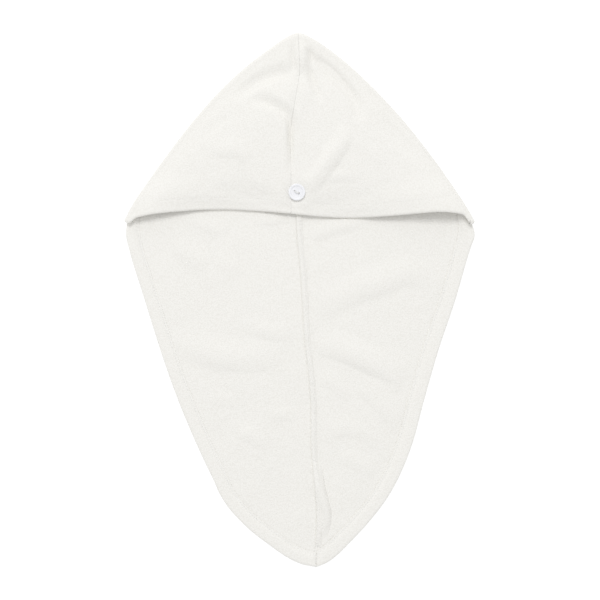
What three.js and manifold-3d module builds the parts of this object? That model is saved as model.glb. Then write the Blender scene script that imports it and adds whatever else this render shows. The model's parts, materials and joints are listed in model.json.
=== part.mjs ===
// Hair turban towel, lying flat with its hood side up. Two halves of terry cloth are joined by one seam
// that runs from the tip of the tail up the middle of the back, round the apex and down the hood's flap.
// The flap is the upper end of both halves, folded over, and the pocket under it takes the head.
// One turned-in hem runs along the flap's edge, round both corners and down the tail.
// Millimetres. X runs to the right, Y up to the apex, Z up from the surface that the towel lies on.
import * as THREE from "three";
import { mergeVertices } from "three/addons/utils/BufferGeometryUtils.js";
import Module from "manifold-3d";

// Overall sizes
const TOWEL_LENGTH = 640; // apex of the hood to the tip of the tail
const TOWEL_WIDTH = 422; // corner to corner
const HOOD_LENGTH = 234; // apex down to the level of the corners

// Cloth, hem and seam
const CLOTH = 2.5; // one layer of terry
const HEM_WIDTH = 16; // turned-in band
const HEM_SPACE = 0.5; // air inside the turned hem
const SEAM_WIDTH = 6; // seam allowance, pressed flat on the inside
const SEAM_HEIGHT = 2;
const SEAM_ROLL = 0.8; // how far the sewn edges turn to the inside
const SEAM_ROLL_REACH = 9; // how far from the seam the cloth starts to turn
const SEWN_GAP = 0.3; // between pieces that are stitched together

// Clear heights inside the hood
const FOLD_AIR = 3; // along the folded upper edges
const APEX_AIR = 1; // between the two runs of the seam at the apex
const CORNER_AIR = 1; // between the two runs of the hem at a corner
const NAPE_AIR = 4.4; // under the flap's edge at the seam
const FLAP_LIFT = 10; // how far the flap's fullness stands above its edges

// Folds of the cloth
const FOLD_HEIGHT = 3;
const FOLD_WIDTH = 11;

// Button and its thread
const BUTTON_DIAMETER = 20;
const BUTTON_THICKNESS = 3;
const BUTTON_RIM = 2.4; // width of the raised rim
const BUTTON_DISH = 0.9; // depth of the middle below the rim
const BUTTON_HOLE = 2;
const BUTTON_HOLE_SPACING = 5.6;
const BUTTON_TURN = -25; // degrees, of the line through both holes
const BUTTON_ACROSS = -0.021; // its place, as shares like those of the tables below
const BUTTON_DOWN = 0.3;
const THREAD_WIDTH = 1.3;

// The outline from above. across is a share of half the width. down is a share of the hood's length on
// the hood's rows and of the tail's length on the tail's rows. Each side runs from the apex to the tip.
const LEFT_EDGE = {
  hood: [
    { down: 0.026, across: -0.081 },
    { down: 0.067, across: -0.149 },
    { down: 0.149, across: -0.274 },
    { down: 0.272, across: -0.427 },
    { down: 0.436, across: -0.592 },
    { down: 0.6, across: -0.734 },
    { down: 0.764, across: -0.865 },
    { down: 0.887, across: -0.956 },
    { down: 0.944, across: -0.988 },
  ],
  corner: { down: 0.965, across: -1 },
  tail: [
    { down: 0, across: -0.996 },
    { down: 0.028, across: -0.988 },
    { down: 0.077, across: -0.966 },
    { down: 0.218, across: -0.881 },
    { down: 0.359, across: -0.796 },
    { down: 0.501, across: -0.7 },
    { down: 0.642, across: -0.586 },
    { down: 0.736, across: -0.501 },
    { down: 0.807, across: -0.433 },
    { down: 0.878, across: -0.314 },
    { down: 0.937, across: -0.172 },
    { down: 0.98, across: -0.045 },
  ],
};
const RIGHT_EDGE = {
  hood: [
    { down: 0.026, across: 0.061 },
    { down: 0.067, across: 0.135 },
    { down: 0.149, across: 0.254 },
    { down: 0.272, across: 0.402 },
    { down: 0.436, across: 0.572 },
    { down: 0.6, across: 0.719 },
    { down: 0.764, across: 0.85 },
    { down: 0.887, across: 0.94 },
    { down: 0.949, across: 0.979 },
  ],
  corner: { down: 0.972, across: 0.992 },
  tail: [
    { down: 0, across: 1 },
    { down: 0.028, across: 0.988 },
    { down: 0.077, across: 0.957 },
    { down: 0.218, across: 0.878 },
    { down: 0.359, across: 0.787 },
    { down: 0.501, across: 0.708 },
    { down: 0.642, across: 0.634 },
    { down: 0.736, across: 0.56 },
    { down: 0.807, across: 0.481 },
    { down: 0.878, across: 0.373 },
    { down: 0.937, across: 0.265 },
    { down: 0.978, across: 0.18 },
  ],
};

// The seam up the back. down is a share of the towel's length.
const BACK_SEAM = [
  { down: 0, across: -0.01 },
  { down: 0.35, across: -0.007 },
  { down: 0.451, across: 0.019 },
  { down: 0.571, across: 0.039 },
  { down: 0.681, across: 0.073 },
  { down: 0.78, across: 0.077 },
  { down: 0.889, across: 0.105 },
  { down: 0.949, across: 0.101 },
  { down: 1, across: 0.09 },
];

// The seam down the flap. down is a share of the flap's length at its middle.
const FLAP_SEAM = [
  { down: 0, across: -0.01 },
  { down: 0.2, across: -0.004 },
  { down: 0.4, across: -0.035 },
  { down: 0.55, across: -0.055 },
  { down: 0.8, across: -0.052 },
  { down: 1, across: -0.052 },
];

// The flap's edge, from left to right. down is a share of the hood's length.
const MOUTH = [
  { across: -0.94, down: 0.954 },
  { across: -0.89, down: 0.941 },
  { across: -0.796, down: 0.928 },
  { across: -0.682, down: 0.918 },
  { across: -0.512, down: 0.908 },
  { across: -0.285, down: 0.913 },
  { across: -0.052, down: 0.929 },
  { across: 0.112, down: 0.944 },
  { across: 0.282, down: 0.951 },
  { across: 0.509, down: 0.941 },
  { across: 0.68, down: 0.928 },
  { across: 0.793, down: 0.922 },
  { across: 0.889, down: 0.928 },
  { across: 0.935, down: 0.94 },
];

// The flap's fullness as shares of its lift, in rows from the upper fold (0) to the nape (1): at the
// seam, at the middle of each half, and at the flap's edge.
const FULLNESS = [
  { row: 0, seam: 0, leftMiddle: 0, leftEdge: 0, rightMiddle: 0, rightEdge: 0 },
  { row: 0.16, seam: 0.2, leftMiddle: 0.42, leftEdge: 0.36, rightMiddle: 0.4, rightEdge: 0.8 },
  { row: 0.4, seam: 0.42, leftMiddle: 0.6, leftEdge: 0, rightMiddle: 0.6, rightEdge: 0.4 },
  { row: 0.7, seam: 0.3, leftMiddle: 0.3, leftEdge: -0.24, rightMiddle: 0.34, rightEdge: -0.14 },
  { row: 1, seam: 0, leftMiddle: 0, leftEdge: 0, rightMiddle: 0, rightEdge: 0 },
];

// Folds. Each runs from its start past its bend to its end; across is a share of half the width, down of
// the towel's length, height of FOLD_HEIGHT (a valley has a negative one) and width of FOLD_WIDTH.
const TAIL_FOLDS = [
  { start: [0.11, 0.583], bend: [0.31, 0.595], end: [0.54, 0.648], height: 1, width: 0.8 },
  { start: [0.14, 0.508], bend: [0.5, 0.4], end: [0.75, 0.487], height: 0.7, width: 1.2 },
  { start: [-0.69, 0.575], bend: [-0.42, 0.635], end: [-0.13, 0.605], height: 0.8, width: 1 },
  { start: [-0.71, 0.4], bend: [-0.58, 0.46], end: [-0.3, 0.455], height: 0.6, width: 0.9 },
  { start: [0.06, 0.368], bend: [0.18, 0.355], end: [0.36, 0.345], height: 0.5, width: 0.9 },
  { start: [-0.64, 0.352], bend: [-0.55, 0.36], end: [-0.44, 0.372], height: 0.4, width: 0.8 },
  { start: [0.15, 0.68], bend: [0.26, 0.7], end: [0.44, 0.77], height: 0.4, width: 1.1 },
  { start: [0.13, 0.82], bend: [0.165, 0.88], end: [0.14, 0.925], height: 0.8, width: 0.55 },
];
const HOOD_FOLDS = [
  { start: [0.05, 0.03], bend: [0.21, 0.075], end: [0.42, 0.17], height: -0.9, width: 0.7 },
  { start: [0.035, 0.05], bend: [0.045, 0.12], end: [0.11, 0.175], height: 0.8, width: 0.5 },
  { start: [-0.03, 0.058], bend: [-0.17, 0.058], end: [-0.35, 0.12], height: -0.8, width: 0.6 },
  { start: [-0.22, 0.12], bend: [-0.07, 0.125], end: [-0.085, 0.25], height: 0.8, width: 0.65 },
  { start: [0.25, 0.175], bend: [0.23, 0.235], end: [0.03, 0.285], height: 0.8, width: 0.65 },
  { start: [-0.52, 0.205], bend: [-0.42, 0.175], end: [-0.32, 0.22], height: 0.6, width: 0.9 },
  { start: [0.48, 0.17], bend: [0.6, 0.21], end: [0.68, 0.28], height: -0.5, width: 1.3 },
];

// How finely the cloth is divided
const BACK_ROWS = 40;
const FOLD_ROWS = 5;
const FLAP_ROWS = 17;
const COLUMNS = [0, 0.014, 0.035, 0.075, 0.13, 0.2, 0.29, 0.4, 0.52, 0.65, 0.8, 1]; // seam to hem
const HEM_COLUMNS = 2;
const HEM_TURN_STEPS = 4;
const EDGE_POINTS = 30; // along the tail's edge
const SEAT_POINTS = 12; // round each ring on which the button is seated
const WELD = 1e-3; // points closer than this are one point

// How the upper fold's radius changes along it, as shares of its length
const APEX_BLEND = 0.05;
const APEX_REACH = 0.15;
const CORNER_START = 0.78;
const CORNER_FULL = 0.92;

// Places that follow from the sizes above
const HALF_WIDTH = TOWEL_WIDTH / 2;
const APEX_Y = TOWEL_LENGTH / 2;
const TAIL_LENGTH = TOWEL_LENGTH - HOOD_LENGTH;
const HEM_RADIUS = (CLOTH + HEM_SPACE) / 2; // of the turned hem, to the middle of the cloth
const HEM_INSET = HEM_RADIUS + CLOTH / 2; // from the outline to where the hem starts to turn
const SEAM_SEAT = CLOTH / 2 + SEWN_GAP; // from the middle of the cloth to the seam allowance
const FOLD_RADIUS = (CLOTH + FOLD_AIR) / 2;
const APEX_RADIUS = SEAM_ROLL + SEAM_SEAT + SEAM_HEIGHT + APEX_AIR / 2;
const CORNER_RADIUS = 2 * HEM_RADIUS + (CLOTH + CORNER_AIR) / 2;
const NAPE_RISE = CLOTH + NAPE_AIR + 2 * HEM_RADIUS; // from the back layer to the flap, both at mid cloth

const { clamp, lerp, smoothstep, degToRad } = THREE.MathUtils;

function place(across, down) {
  return new THREE.Vector3(across * HALF_WIDTH, APEX_Y - down, 0);
}

// The value of a table's column at a place along its key column, on a smooth curve with level ends
function readTable(rows, key, column, at) {
  const last = rows.length - 1;
  let i = 0;
  while (i < last - 1 && at > rows[i + 1][key]) i += 1;
  const slope = (k) => {
    if (k === 0 || k === last) return 0;
    return (rows[k + 1][column] - rows[k - 1][column]) / (rows[k + 1][key] - rows[k - 1][key]);
  };
  const run = rows[i + 1][key] - rows[i][key];
  const t = clamp((at - rows[i][key]) / run, 0, 1);
  const start = (1 + 2 * t) * (1 - t) ** 2 * rows[i][column] + t * (1 - t) ** 2 * run * slope(i);
  const end = t * t * (3 - 2 * t) * rows[i + 1][column] - t * t * (1 - t) * run * slope(i + 1);
  return start + end;
}

// Outline

const apex = place(BACK_SEAM[0].across, 0);
const tip = place(BACK_SEAM.at(-1).across, TOWEL_LENGTH);
const leftCorner = place(LEFT_EDGE.corner.across, LEFT_EDGE.corner.down * HOOD_LENGTH);
const rightCorner = place(RIGHT_EDGE.corner.across, RIGHT_EDGE.corner.down * HOOD_LENGTH);
const hoodPoints = (edge) => edge.hood.map((row) => place(row.across, row.down * HOOD_LENGTH));
const tailPoints = (edge) => edge.tail.map((row) => place(row.across, HOOD_LENGTH + row.down * TAIL_LENGTH));
const outlineKnots = [
  apex,
  ...hoodPoints(LEFT_EDGE),
  leftCorner,
  ...tailPoints(LEFT_EDGE),
  tip,
  ...tailPoints(RIGHT_EDGE).reverse(),
  rightCorner,
  ...hoodPoints(RIGHT_EDGE).reverse(),
];
const outline = new THREE.CatmullRomCurve3(outlineKnots, true, "centripetal");

// The part of the outline between two of its points, the short way round
function outlineSpan(from, to) {
  const steps = 60;
  const start = outlineKnots.indexOf(from) / outlineKnots.length;
  let way = outlineKnots.indexOf(to) / outlineKnots.length - start;
  if (Math.abs(way) > 0.5) way -= Math.sign(way);
  const points = Array.from({ length: steps + 1 }, (_, i) => outline.getPoint(start + (way * i) / steps));
  return new THREE.CatmullRomCurve3(points, false, "centripetal");
}

// A point on a plan curve, moved sideways: turn 1 is to the left of the curve's direction, -1 to the right
function insetPoint(curve, share, turn, inset) {
  const point = curve.getPointAt(share);
  const along = curve.getTangentAt(share);
  return point.add(new THREE.Vector3(-along.y, along.x, 0).normalize().multiplyScalar(turn * inset));
}

// Folds of the cloth

// Each row of a table of folds with its curve laid out as points
function layFolds(rows) {
  const toPlan = ([across, down]) => place(across, down * TOWEL_LENGTH);
  return rows.map((row) => {
    const curve = new THREE.QuadraticBezierCurve3(toPlan(row.start), toPlan(row.bend), toPlan(row.end));
    return { points: curve.getPoints(14), height: row.height * FOLD_HEIGHT, width: row.width * FOLD_WIDTH };
  });
}

const tailFolds = layFolds(TAIL_FOLDS);
const hoodFolds = layFolds(HOOD_FOLDS);

// How far the folds raise the cloth at a place: each is a rounded ridge that runs out at both ends and
// leaves the cloth flat beyond twice its width
function foldHeight(folds, point) {
  const stretch = new THREE.Line3();
  const nearest = new THREE.Vector3();
  const flat = new THREE.Vector3(point.x, point.y, 0);
  return folds.reduce((sum, fold) => {
    let [distance, share] = [Infinity, 0];
    const steps = fold.points.length - 1;
    for (let i = 0; i < steps; i += 1) {
      stretch.set(fold.points[i], fold.points[i + 1]);
      const t = stretch.closestPointToPointParameter(flat, true);
      const away = stretch.at(t, nearest).distanceTo(flat);
      if (away < distance) [distance, share] = [away, (i + t) / steps];
    }
    const runOut = Math.sin(Math.PI * lerp(0.12, 0.88, share));
    const ridge = Math.max(0, 1 - (distance / (2 * fold.width)) ** 2) ** 4;
    return sum + fold.height * runOut * ridge;
  }, 0);
}

// One half of the towel, as a surface down the middle of its cloth. u runs from the seam (0) to the hem
// (1). v runs from the tip up the back (0 to 1), round the upper fold (1 to 2) and down the flap (2 to 3).
class Half {
  constructor(side) {
    this.side = side; // -1 is the left half, 1 the right one
    const corner = side < 0 ? leftCorner : rightCorner;
    this.fold = outlineSpan(apex, corner);
    this.foldEnd = 1 - HEM_INSET / this.fold.getLength();
    this.foldStart = this.foldBase(0);
    this.foldStop = this.foldBase(1);
    this.tailEdge = this.layTailEdge(outlineSpan(tip, corner));
    this.mouthEdge = this.layMouthEdge();
    this.nape = this.mouthEdge.getPointAt(1);
    this.rows = this.layRows();
  }

  // Radius of the upper fold along it: wide at the apex for the seam and at the corner for the hem
  foldRadius(u) {
    const atApex = 1 - smoothstep(u, 0, APEX_REACH);
    const atCorner = smoothstep(u, CORNER_START, CORNER_FULL);
    return FOLD_RADIUS + (APEX_RADIUS - FOLD_RADIUS) * atApex + (CORNER_RADIUS - FOLD_RADIUS) * atCorner;
  }

  // Plan point of the upper fold, a distance in from the outline; straight down at the apex
  foldPlan(u, inset) {
    const outer = this.fold.getPointAt(u * this.foldEnd);
    const inner = insetPoint(this.fold, u * this.foldEnd, -this.side, 1);
    const down = new THREE.Vector3(0, -1, 0);
    const inward = down.lerp(inner.sub(outer), smoothstep(u, 0, APEX_BLEND)).normalize();
    return outer.addScaledVector(inward, inset);
  }

  // Where the upper fold starts to turn
  foldBase(u) {
    return this.foldPlan(u, CLOTH / 2 + this.foldRadius(u));
  }

  // How far the upper fold bows out from the straight line between its ends
  foldBow(u) {
    return this.foldBase(u).sub(this.foldStart.clone().lerp(this.foldStop, u));
  }

  layTailEdge(span) {
    const start = tip.clone().add(new THREE.Vector3(0, HEM_INSET, 0));
    const points = Array.from({ length: EDGE_POINTS - 1 }, (_, i) =>
      insetPoint(span, (i + 1) / EDGE_POINTS, this.side, HEM_INSET),
    );
    return new THREE.CatmullRomCurve3([start, ...points, this.foldStop], false, "centripetal");
  }

  layMouthEdge() {
    const nape = FLAP_SEAM.at(-1).across;
    const rows = MOUTH.filter((row) => (row.across - nape) * this.side >= 0);
    const points = rows.map((row) => place(row.across, row.down * HOOD_LENGTH - HEM_INSET));
    if (this.side > 0) points.reverse();
    return new THREE.CatmullRomCurve3([this.foldStop, ...points], false, "centripetal");
  }

  // How far the cloth beside the seam turns to the inside
  seamRoll(distance) {
    return SEAM_ROLL * (1 - smoothstep(Math.abs(distance), 0, SEAM_ROLL_REACH));
  }

  // The stiff seam flattens the folds that run up to it
  seamCalm(distance) {
    return smoothstep(Math.abs(distance), SEAM_WIDTH / 2, SEAM_WIDTH * 2.5);
  }

  backPoint(u, v) {
    const y = lerp(tip.y + HEM_INSET, this.foldStart.y, v);
    const seam = new THREE.Vector3(HALF_WIDTH * readTable(BACK_SEAM, "down", "across", 1 - v), y, 0);
    const point = seam.clone().lerp(this.tailEdge.getPointAt(v), u).addScaledVector(this.foldBow(u), v);
    const calm = smoothstep(1 - u, 0.06, 0.2) * smoothstep(1 - v, 0, 0.04) * this.seamCalm(point.x - seam.x);
    point.z = CLOTH / 2 + foldHeight(tailFolds, point) * calm + this.seamRoll(point.x - seam.x);
    return point;
  }

  archPoint(u, v) {
    const radius = this.foldRadius(u);
    const turned = radius - this.seamRoll(this.foldBase(u).x - this.foldStart.x);
    const angle = Math.PI * (v - 0.5);
    const point = this.foldPlan(u, CLOTH / 2 + radius - turned * Math.cos(angle));
    point.z = CLOTH / 2 + radius + turned * Math.sin(angle);
    return point;
  }

  // The flap's fullness above its edges, as a share of its lift
  fullness(u, v) {
    const [middle, edge] = this.side < 0 ? ["leftMiddle", "leftEdge"] : ["rightMiddle", "rightEdge"];
    const [atSeam, atMiddle, atEdge] = ["seam", middle, edge].map((name) =>
      readTable(FULLNESS, "row", name, v),
    );
    return atSeam * (1 - u) * (1 - 2 * u) + atMiddle * 4 * u * (1 - u) + atEdge * u * (2 * u - 1);
  }

  flapPoint(u, v) {
    const y = lerp(this.foldStart.y, this.nape.y, v);
    const seam = new THREE.Vector3(HALF_WIDTH * readTable(FLAP_SEAM, "down", "across", v), y, 0);
    const point = seam.clone().lerp(this.mouthEdge.getPointAt(v), u).addScaledVector(this.foldBow(u), 1 - v);
    const rise = lerp(2 * this.foldRadius(u), NAPE_RISE, smoothstep(v, 0, 1));
    const calm = smoothstep(v, 0, 0.12) * smoothstep(1 - v, 0, 0.15) * this.seamCalm(point.x - seam.x);
    point.z = CLOTH / 2 + rise + FLAP_LIFT * this.fullness(u, v) + foldHeight(hoodFolds, point) * calm;
    point.z -= this.seamRoll(point.x - seam.x);
    return point;
  }

  // A point of the half; the sewn edge stands back from the seam by half the sewn gap
  pointOn(u, v) {
    const point =
      v <= 1 ? this.backPoint(u, v) : v < 2 ? this.archPoint(u, v - 1) : this.flapPoint(u, v - 2);
    const open = smoothstep(Math.min(v, 3 - v), 0, 0.05);
    point.x += ((this.side * SEWN_GAP) / 2) * (1 - u * open);
    return point;
  }

  // Length of a row, measured by its stretch beside the seam
  rowLength(v) {
    const beside = 0.1;
    return this.pointOn(0, v).distanceTo(this.pointOn(beside, v)) / beside;
  }

  // The direction out of the cloth to the inside of the towel
  insideAt(u, v) {
    const step = 1e-3;
    const row = clamp(v, 4 * step, 3 - 4 * step);
    const across = this.pointOn(Math.min(u + step, 1), row).sub(this.pointOn(Math.max(u - step, 0), row));
    const along = this.pointOn(u, row + step).sub(this.pointOn(u, row - step));
    const inside = across.cross(along).multiplyScalar(this.side);
    if (u === 0 || v === 0 || v === 3) inside.x = 0; // sewn edges stay in the plane of the seam
    return inside.normalize();
  }

  // The rows that divide the half, each with its place, the run of the hem there and where the hem ends
  layRows() {
    const places = [
      ...Array.from({ length: BACK_ROWS }, (_, i) => i / BACK_ROWS),
      ...Array.from({ length: FOLD_ROWS }, (_, i) => 1 + i / FOLD_ROWS),
      ...Array.from({ length: FLAP_ROWS + 1 }, (_, i) => 2 + i / FLAP_ROWS),
    ];
    const edge = places.map((v) => this.pointOn(1, v));
    const rows = places.map((v, j) => {
      if (v === 0 || v === 3) return { v, run: new THREE.Vector3(1, 0, 0), margin: 0 };
      const run = edge[j + 1].clone().sub(edge[j]).normalize();
      run.add(edge[j].clone().sub(edge[j - 1]).normalize()).normalize();
      const step = 0.02;
      const outward = edge[j].clone().sub(this.pointOn(1 - step, v)).divideScalar(step);
      return { v, run, margin: Math.max(0, 1 - HEM_WIDTH / outward.cross(run).length()) };
    });
    return rows.map((row, j) => {
      if (row.margin === 0) return row;
      return { ...row, margin: (rows[j - 1].margin + 2 * row.margin + rows[j + 1].margin) / 4 };
    });
  }

  // One row of the cloth from the seam to the hem, round the turned hem and back along its band
  layRow({ v, run, margin }) {
    const columns = COLUMNS.map((share) => share * margin);
    for (let i = 1; i <= HEM_COLUMNS; i += 1) columns.push(lerp(margin, 1, i / HEM_COLUMNS));
    const panel = columns.map((u) => ({ point: this.pointOn(u, v), inside: this.insideAt(u, v) }));
    const edge = panel.at(-1);
    const outward = run.clone().cross(edge.inside).normalize();
    if (v === 0 || v === 3) outward.set(0, -1, 0);
    else if (outward.dot(edge.point.clone().sub(panel.at(-2).point)) < 0) outward.negate();
    const turn = Array.from({ length: HEM_TURN_STEPS - 1 }, (_, i) => {
      const angle = (Math.PI * (i + 1)) / HEM_TURN_STEPS;
      const inside = edge.inside.clone().multiplyScalar(Math.cos(angle));
      inside.addScaledVector(outward, -Math.sin(angle));
      const centre = edge.point.clone().addScaledVector(edge.inside, HEM_RADIUS);
      return { point: centre.addScaledVector(inside, -HEM_RADIUS), inside };
    });
    const band = panel.slice(-HEM_COLUMNS - 1).reverse();
    const turned = band.map(({ point, inside }) => ({
      point: point.clone().addScaledVector(inside, 2 * HEM_RADIUS),
      inside: inside.clone().negate(),
    }));
    return [...panel, ...turn, ...turned];
  }

  solid() {
    const grid = this.rows.map((row) => this.layRow(row));
    return thickSheet(grid, CLOTH, this.side > 0);
  }
}

// Solids

// A closed solid from a grid of points down the middle of a sheet, each with its inside direction.
// Points that fall together are joined, and the open edges are closed with a strip.
function thickSheet(grid, wall, upright) {
  const numbers = new Map();
  const middle = [];
  const number = (vertex) => {
    const key = vertex.point.toArray().map((value) => Math.round(value / WELD)).join();
    if (!numbers.has(key)) {
      numbers.set(key, middle.length);
      middle.push(vertex);
    }
    return numbers.get(key);
  };
  const index = grid.map((row) => row.map(number));
  const faces = [];
  const addFace = (a, b, c) => {
    if (a !== b && b !== c && c !== a) faces.push(upright ? [a, b, c] : [a, c, b]);
  };
  for (let j = 0; j < index.length - 1; j += 1) {
    for (let i = 0; i < index[j].length - 1; i += 1) {
      addFace(index[j][i], index[j][i + 1], index[j + 1][i + 1]);
      addFace(index[j][i], index[j + 1][i + 1], index[j + 1][i]);
    }
  }
  const count = middle.length;
  const edges = new Set(faces.flatMap(([a, b, c]) => [`${a},${b}`, `${b},${c}`, `${c},${a}`]));
  const rim = [...edges].map((edge) => edge.split(",").map(Number)).filter(([a, b]) => !edges.has(`${b},${a}`));
  const triangles = [
    ...faces,
    ...faces.map(([a, b, c]) => [count + a, count + c, count + b]),
    ...rim.flatMap(([a, b]) => [
      [b, a, count + a],
      [b, count + a, count + b],
    ]),
  ];
  const offset = (amount) => middle.map(({ point, inside }) => point.clone().addScaledVector(inside, amount));
  const geometry = new THREE.BufferGeometry().setFromPoints([...offset(wall / 2), ...offset(-wall / 2)]);
  geometry.setIndex(triangles.flat());
  geometry.computeVertexNormals();
  return geometry;
}

// Where the turned hem clears the seam allowance, at the tip or at the nape
function seamEnd(half, atTip) {
  const rows = atTip ? half.rows : [...half.rows].reverse();
  const need = SEAM_WIDTH / 2 + 2 * SEWN_GAP;
  const offset = (row) => row.margin * half.rowLength(row.v);
  const j = rows.findIndex((row) => offset(row) > need);
  const share = (need - offset(rows[j - 1])) / (offset(rows[j]) - offset(rows[j - 1]));
  return lerp(rows[j - 1].v, rows[j].v, share);
}

// The seam allowance: both cut edges laid flat on the inside, from the hem at the tip up the back,
// round the apex and down to the hem at the nape. Its section follows the cloth on both sides.
function seamSolid(left, right) {
  const first = Math.max(seamEnd(left, true), seamEnd(right, true));
  const last = Math.min(seamEnd(left, false), seamEnd(right, false));
  const stations = [first, ...right.rows.map((row) => row.v).filter((v) => v > first && v < last), last];
  const profile = [
    { across: 0, up: 0 },
    { across: -0.5, up: 0 },
    { across: -0.42, up: 0.75 },
    { across: -0.2, up: 1 },
    { across: 0.2, up: 1 },
    { across: 0.42, up: 0.75 },
    { across: 0.5, up: 0 },
  ];
  const rings = stations.map((v) =>
    profile.map(({ across, up }) => {
      const half = across < 0 ? left : right;
      const u = (Math.abs(across) * SEAM_WIDTH) / half.rowLength(v);
      const point = half.pointOn(u, v).addScaledVector(half.insideAt(u, v), SEAM_SEAT + up * SEAM_HEIGHT);
      if (across === 0) point.x -= (half.side * SEWN_GAP) / 2;
      return point;
    }),
  );
  return sweepSolid(rings);
}

// A closed solid through rings of points, with a flat fan on each end
function sweepSolid(rings) {
  const size = rings[0].length;
  const at = (ring, i) => ring * size + (i % size);
  const triangles = [];
  for (let ring = 0; ring < rings.length - 1; ring += 1) {
    for (let i = 0; i < size; i += 1) {
      triangles.push(at(ring, i), at(ring, i + 1), at(ring + 1, i + 1));
      triangles.push(at(ring, i), at(ring + 1, i + 1), at(ring + 1, i));
    }
  }
  const end = rings.length - 1;
  for (let i = 1; i < size - 1; i += 1) {
    triangles.push(at(0, 0), at(0, i + 1), at(0, i));
    triangles.push(at(end, 0), at(end, i), at(end, i + 1));
  }
  const geometry = new THREE.BufferGeometry().setFromPoints(rings.flat());
  geometry.setIndex(triangles);
  geometry.computeVertexNormals();
  return geometry;
}

const wasm = await Module();
wasm.setup();

function toManifold(geometry) {
  const bare = geometry.clone().deleteAttribute("normal").deleteAttribute("uv");
  const merged = mergeVertices(bare, WELD);
  return new wasm.Manifold(
    new wasm.Mesh({
      numProp: 3,
      vertProperties: new Float32Array(merged.attributes.position.array),
      triVerts: new Uint32Array(merged.index.array),
    }),
  );
}

function fromManifold(solid) {
  const mesh = solid.getMesh();
  const geometry = new THREE.BufferGeometry();
  geometry.setAttribute("position", new THREE.BufferAttribute(mesh.vertProperties, 3));
  geometry.setIndex(new THREE.BufferAttribute(mesh.triVerts, 1));
  geometry.computeVertexNormals();
  return geometry;
}

// The button: a round disc with a raised rim, a dished middle and two holes, its underside at z 0
function buttonSolid() {
  const radius = BUTTON_DIAMETER / 2;
  const bevel = BUTTON_THICKNESS / 4;
  const floor = BUTTON_THICKNESS - BUTTON_DISH;
  const profile = [
    [0, 0],
    [radius - bevel, 0],
    [radius, bevel],
    [radius, BUTTON_THICKNESS - bevel],
    [radius - bevel, BUTTON_THICKNESS],
    [radius - BUTTON_RIM, BUTTON_THICKNESS],
    [radius - BUTTON_RIM - BUTTON_DISH, floor],
    [0, floor],
  ];
  const disc = new THREE.LatheGeometry(profile.map(([r, z]) => new THREE.Vector2(r, z)), 30);
  disc.rotateX(Math.PI / 2);
  let solid = toManifold(disc);
  for (const side of [-1, 1]) {
    const hole = new THREE.CylinderGeometry(BUTTON_HOLE / 2, BUTTON_HOLE / 2, 4 * BUTTON_THICKNESS, 12);
    hole.rotateX(Math.PI / 2);
    hole.translate((side * BUTTON_HOLE_SPACING) / 2, 0, 0);
    solid = solid.subtract(toManifold(hole));
  }
  return fromManifold(solid);
}

// The thread: up through one hole, over the dished middle and down through the other
function threadSolid() {
  const reach = BUTTON_HOLE_SPACING / 2;
  const top = BUTTON_THICKNESS - BUTTON_DISH + SEWN_GAP + THREAD_WIDTH / 2;
  const path = new THREE.CatmullRomCurve3(
    [
      [-reach, 0],
      [-reach, top - THREAD_WIDTH],
      [-reach + THREAD_WIDTH / 3, top - THREAD_WIDTH / 6],
      [-reach + THREAD_WIDTH, top],
      [reach - THREAD_WIDTH, top],
      [reach - THREAD_WIDTH / 3, top - THREAD_WIDTH / 6],
      [reach, top - THREAD_WIDTH],
      [reach, 0],
    ].map(([x, z]) => new THREE.Vector3(x, 0, z)),
    false,
    "centripetal",
  );
  const section = new THREE.Shape().absarc(0, 0, THREAD_WIDTH / 2, 0, 2 * Math.PI);
  return new THREE.ExtrudeGeometry(section, { extrudePath: path, steps: 14, curveSegments: 8 });
}

// Lays the button's group on the cloth below it, turned to the cloth's slope
function seatOnCloth(group, meshes, x, y) {
  const ray = new THREE.Raycaster();
  const down = new THREE.Vector3(0, 0, -1);
  const sky = TOWEL_LENGTH;
  const heightAt = (px, py) => {
    ray.set(new THREE.Vector3(px, py, sky), down);
    const hits = meshes.flatMap((mesh) => ray.intersectObject(mesh));
    return Math.max(...hits.map((hit) => sky - hit.distance));
  };
  const radius = BUTTON_DIAMETER / 2;
  const points = [0.35, 0.7, 1].flatMap((share) =>
    Array.from({ length: SEAT_POINTS }, (_, i) => {
      const angle = (i / SEAT_POINTS) * 2 * Math.PI;
      const [dx, dy] = [share * radius * Math.cos(angle), share * radius * Math.sin(angle)];
      return { dx, dy, z: heightAt(x + dx, y + dy) };
    }),
  );
  const slope = (axis) => {
    const sum = (value) => points.reduce((total, point) => total + value(point), 0);
    return sum((point) => point[axis] * point.z) / sum((point) => point[axis] ** 2);
  };
  const normal = new THREE.Vector3(-slope("dx"), -slope("dy"), 1).normalize();
  const away = points.map(({ dx, dy, z }) => new THREE.Vector3(dx, dy, z).dot(normal));
  group.quaternion.setFromUnitVectors(new THREE.Vector3(0, 0, 1), normal);
  group.rotateZ(degToRad(BUTTON_TURN));
  group.position.set(x, y, (Math.max(...away) + SEWN_GAP) / normal.z);
}

// Materials
const terry = new THREE.MeshStandardMaterial({ color: 0xf4f2ea, roughness: 0.95, metalness: 0 });
const overlock = new THREE.MeshStandardMaterial({ color: 0xf2efe6, roughness: 0.85, metalness: 0 });
const buttonPlastic = new THREE.MeshStandardMaterial({ color: 0xf6f5fa, roughness: 0.3, metalness: 0 });
const sewingThread = new THREE.MeshStandardMaterial({ color: 0xf3f2f2, roughness: 0.7, metalness: 0 });

function named(name, geometry, material) {
  const mesh = new THREE.Mesh(geometry, material);
  mesh.name = name;
  return mesh;
}

// Assembly
const leftHalf = new Half(-1);
const rightHalf = new Half(1);
const leftPanel = named("left_panel", leftHalf.solid(), terry);
const rightPanel = named("right_panel", rightHalf.solid(), terry);
const seam = named("centre_seam", seamSolid(leftHalf, rightHalf), overlock);

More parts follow.
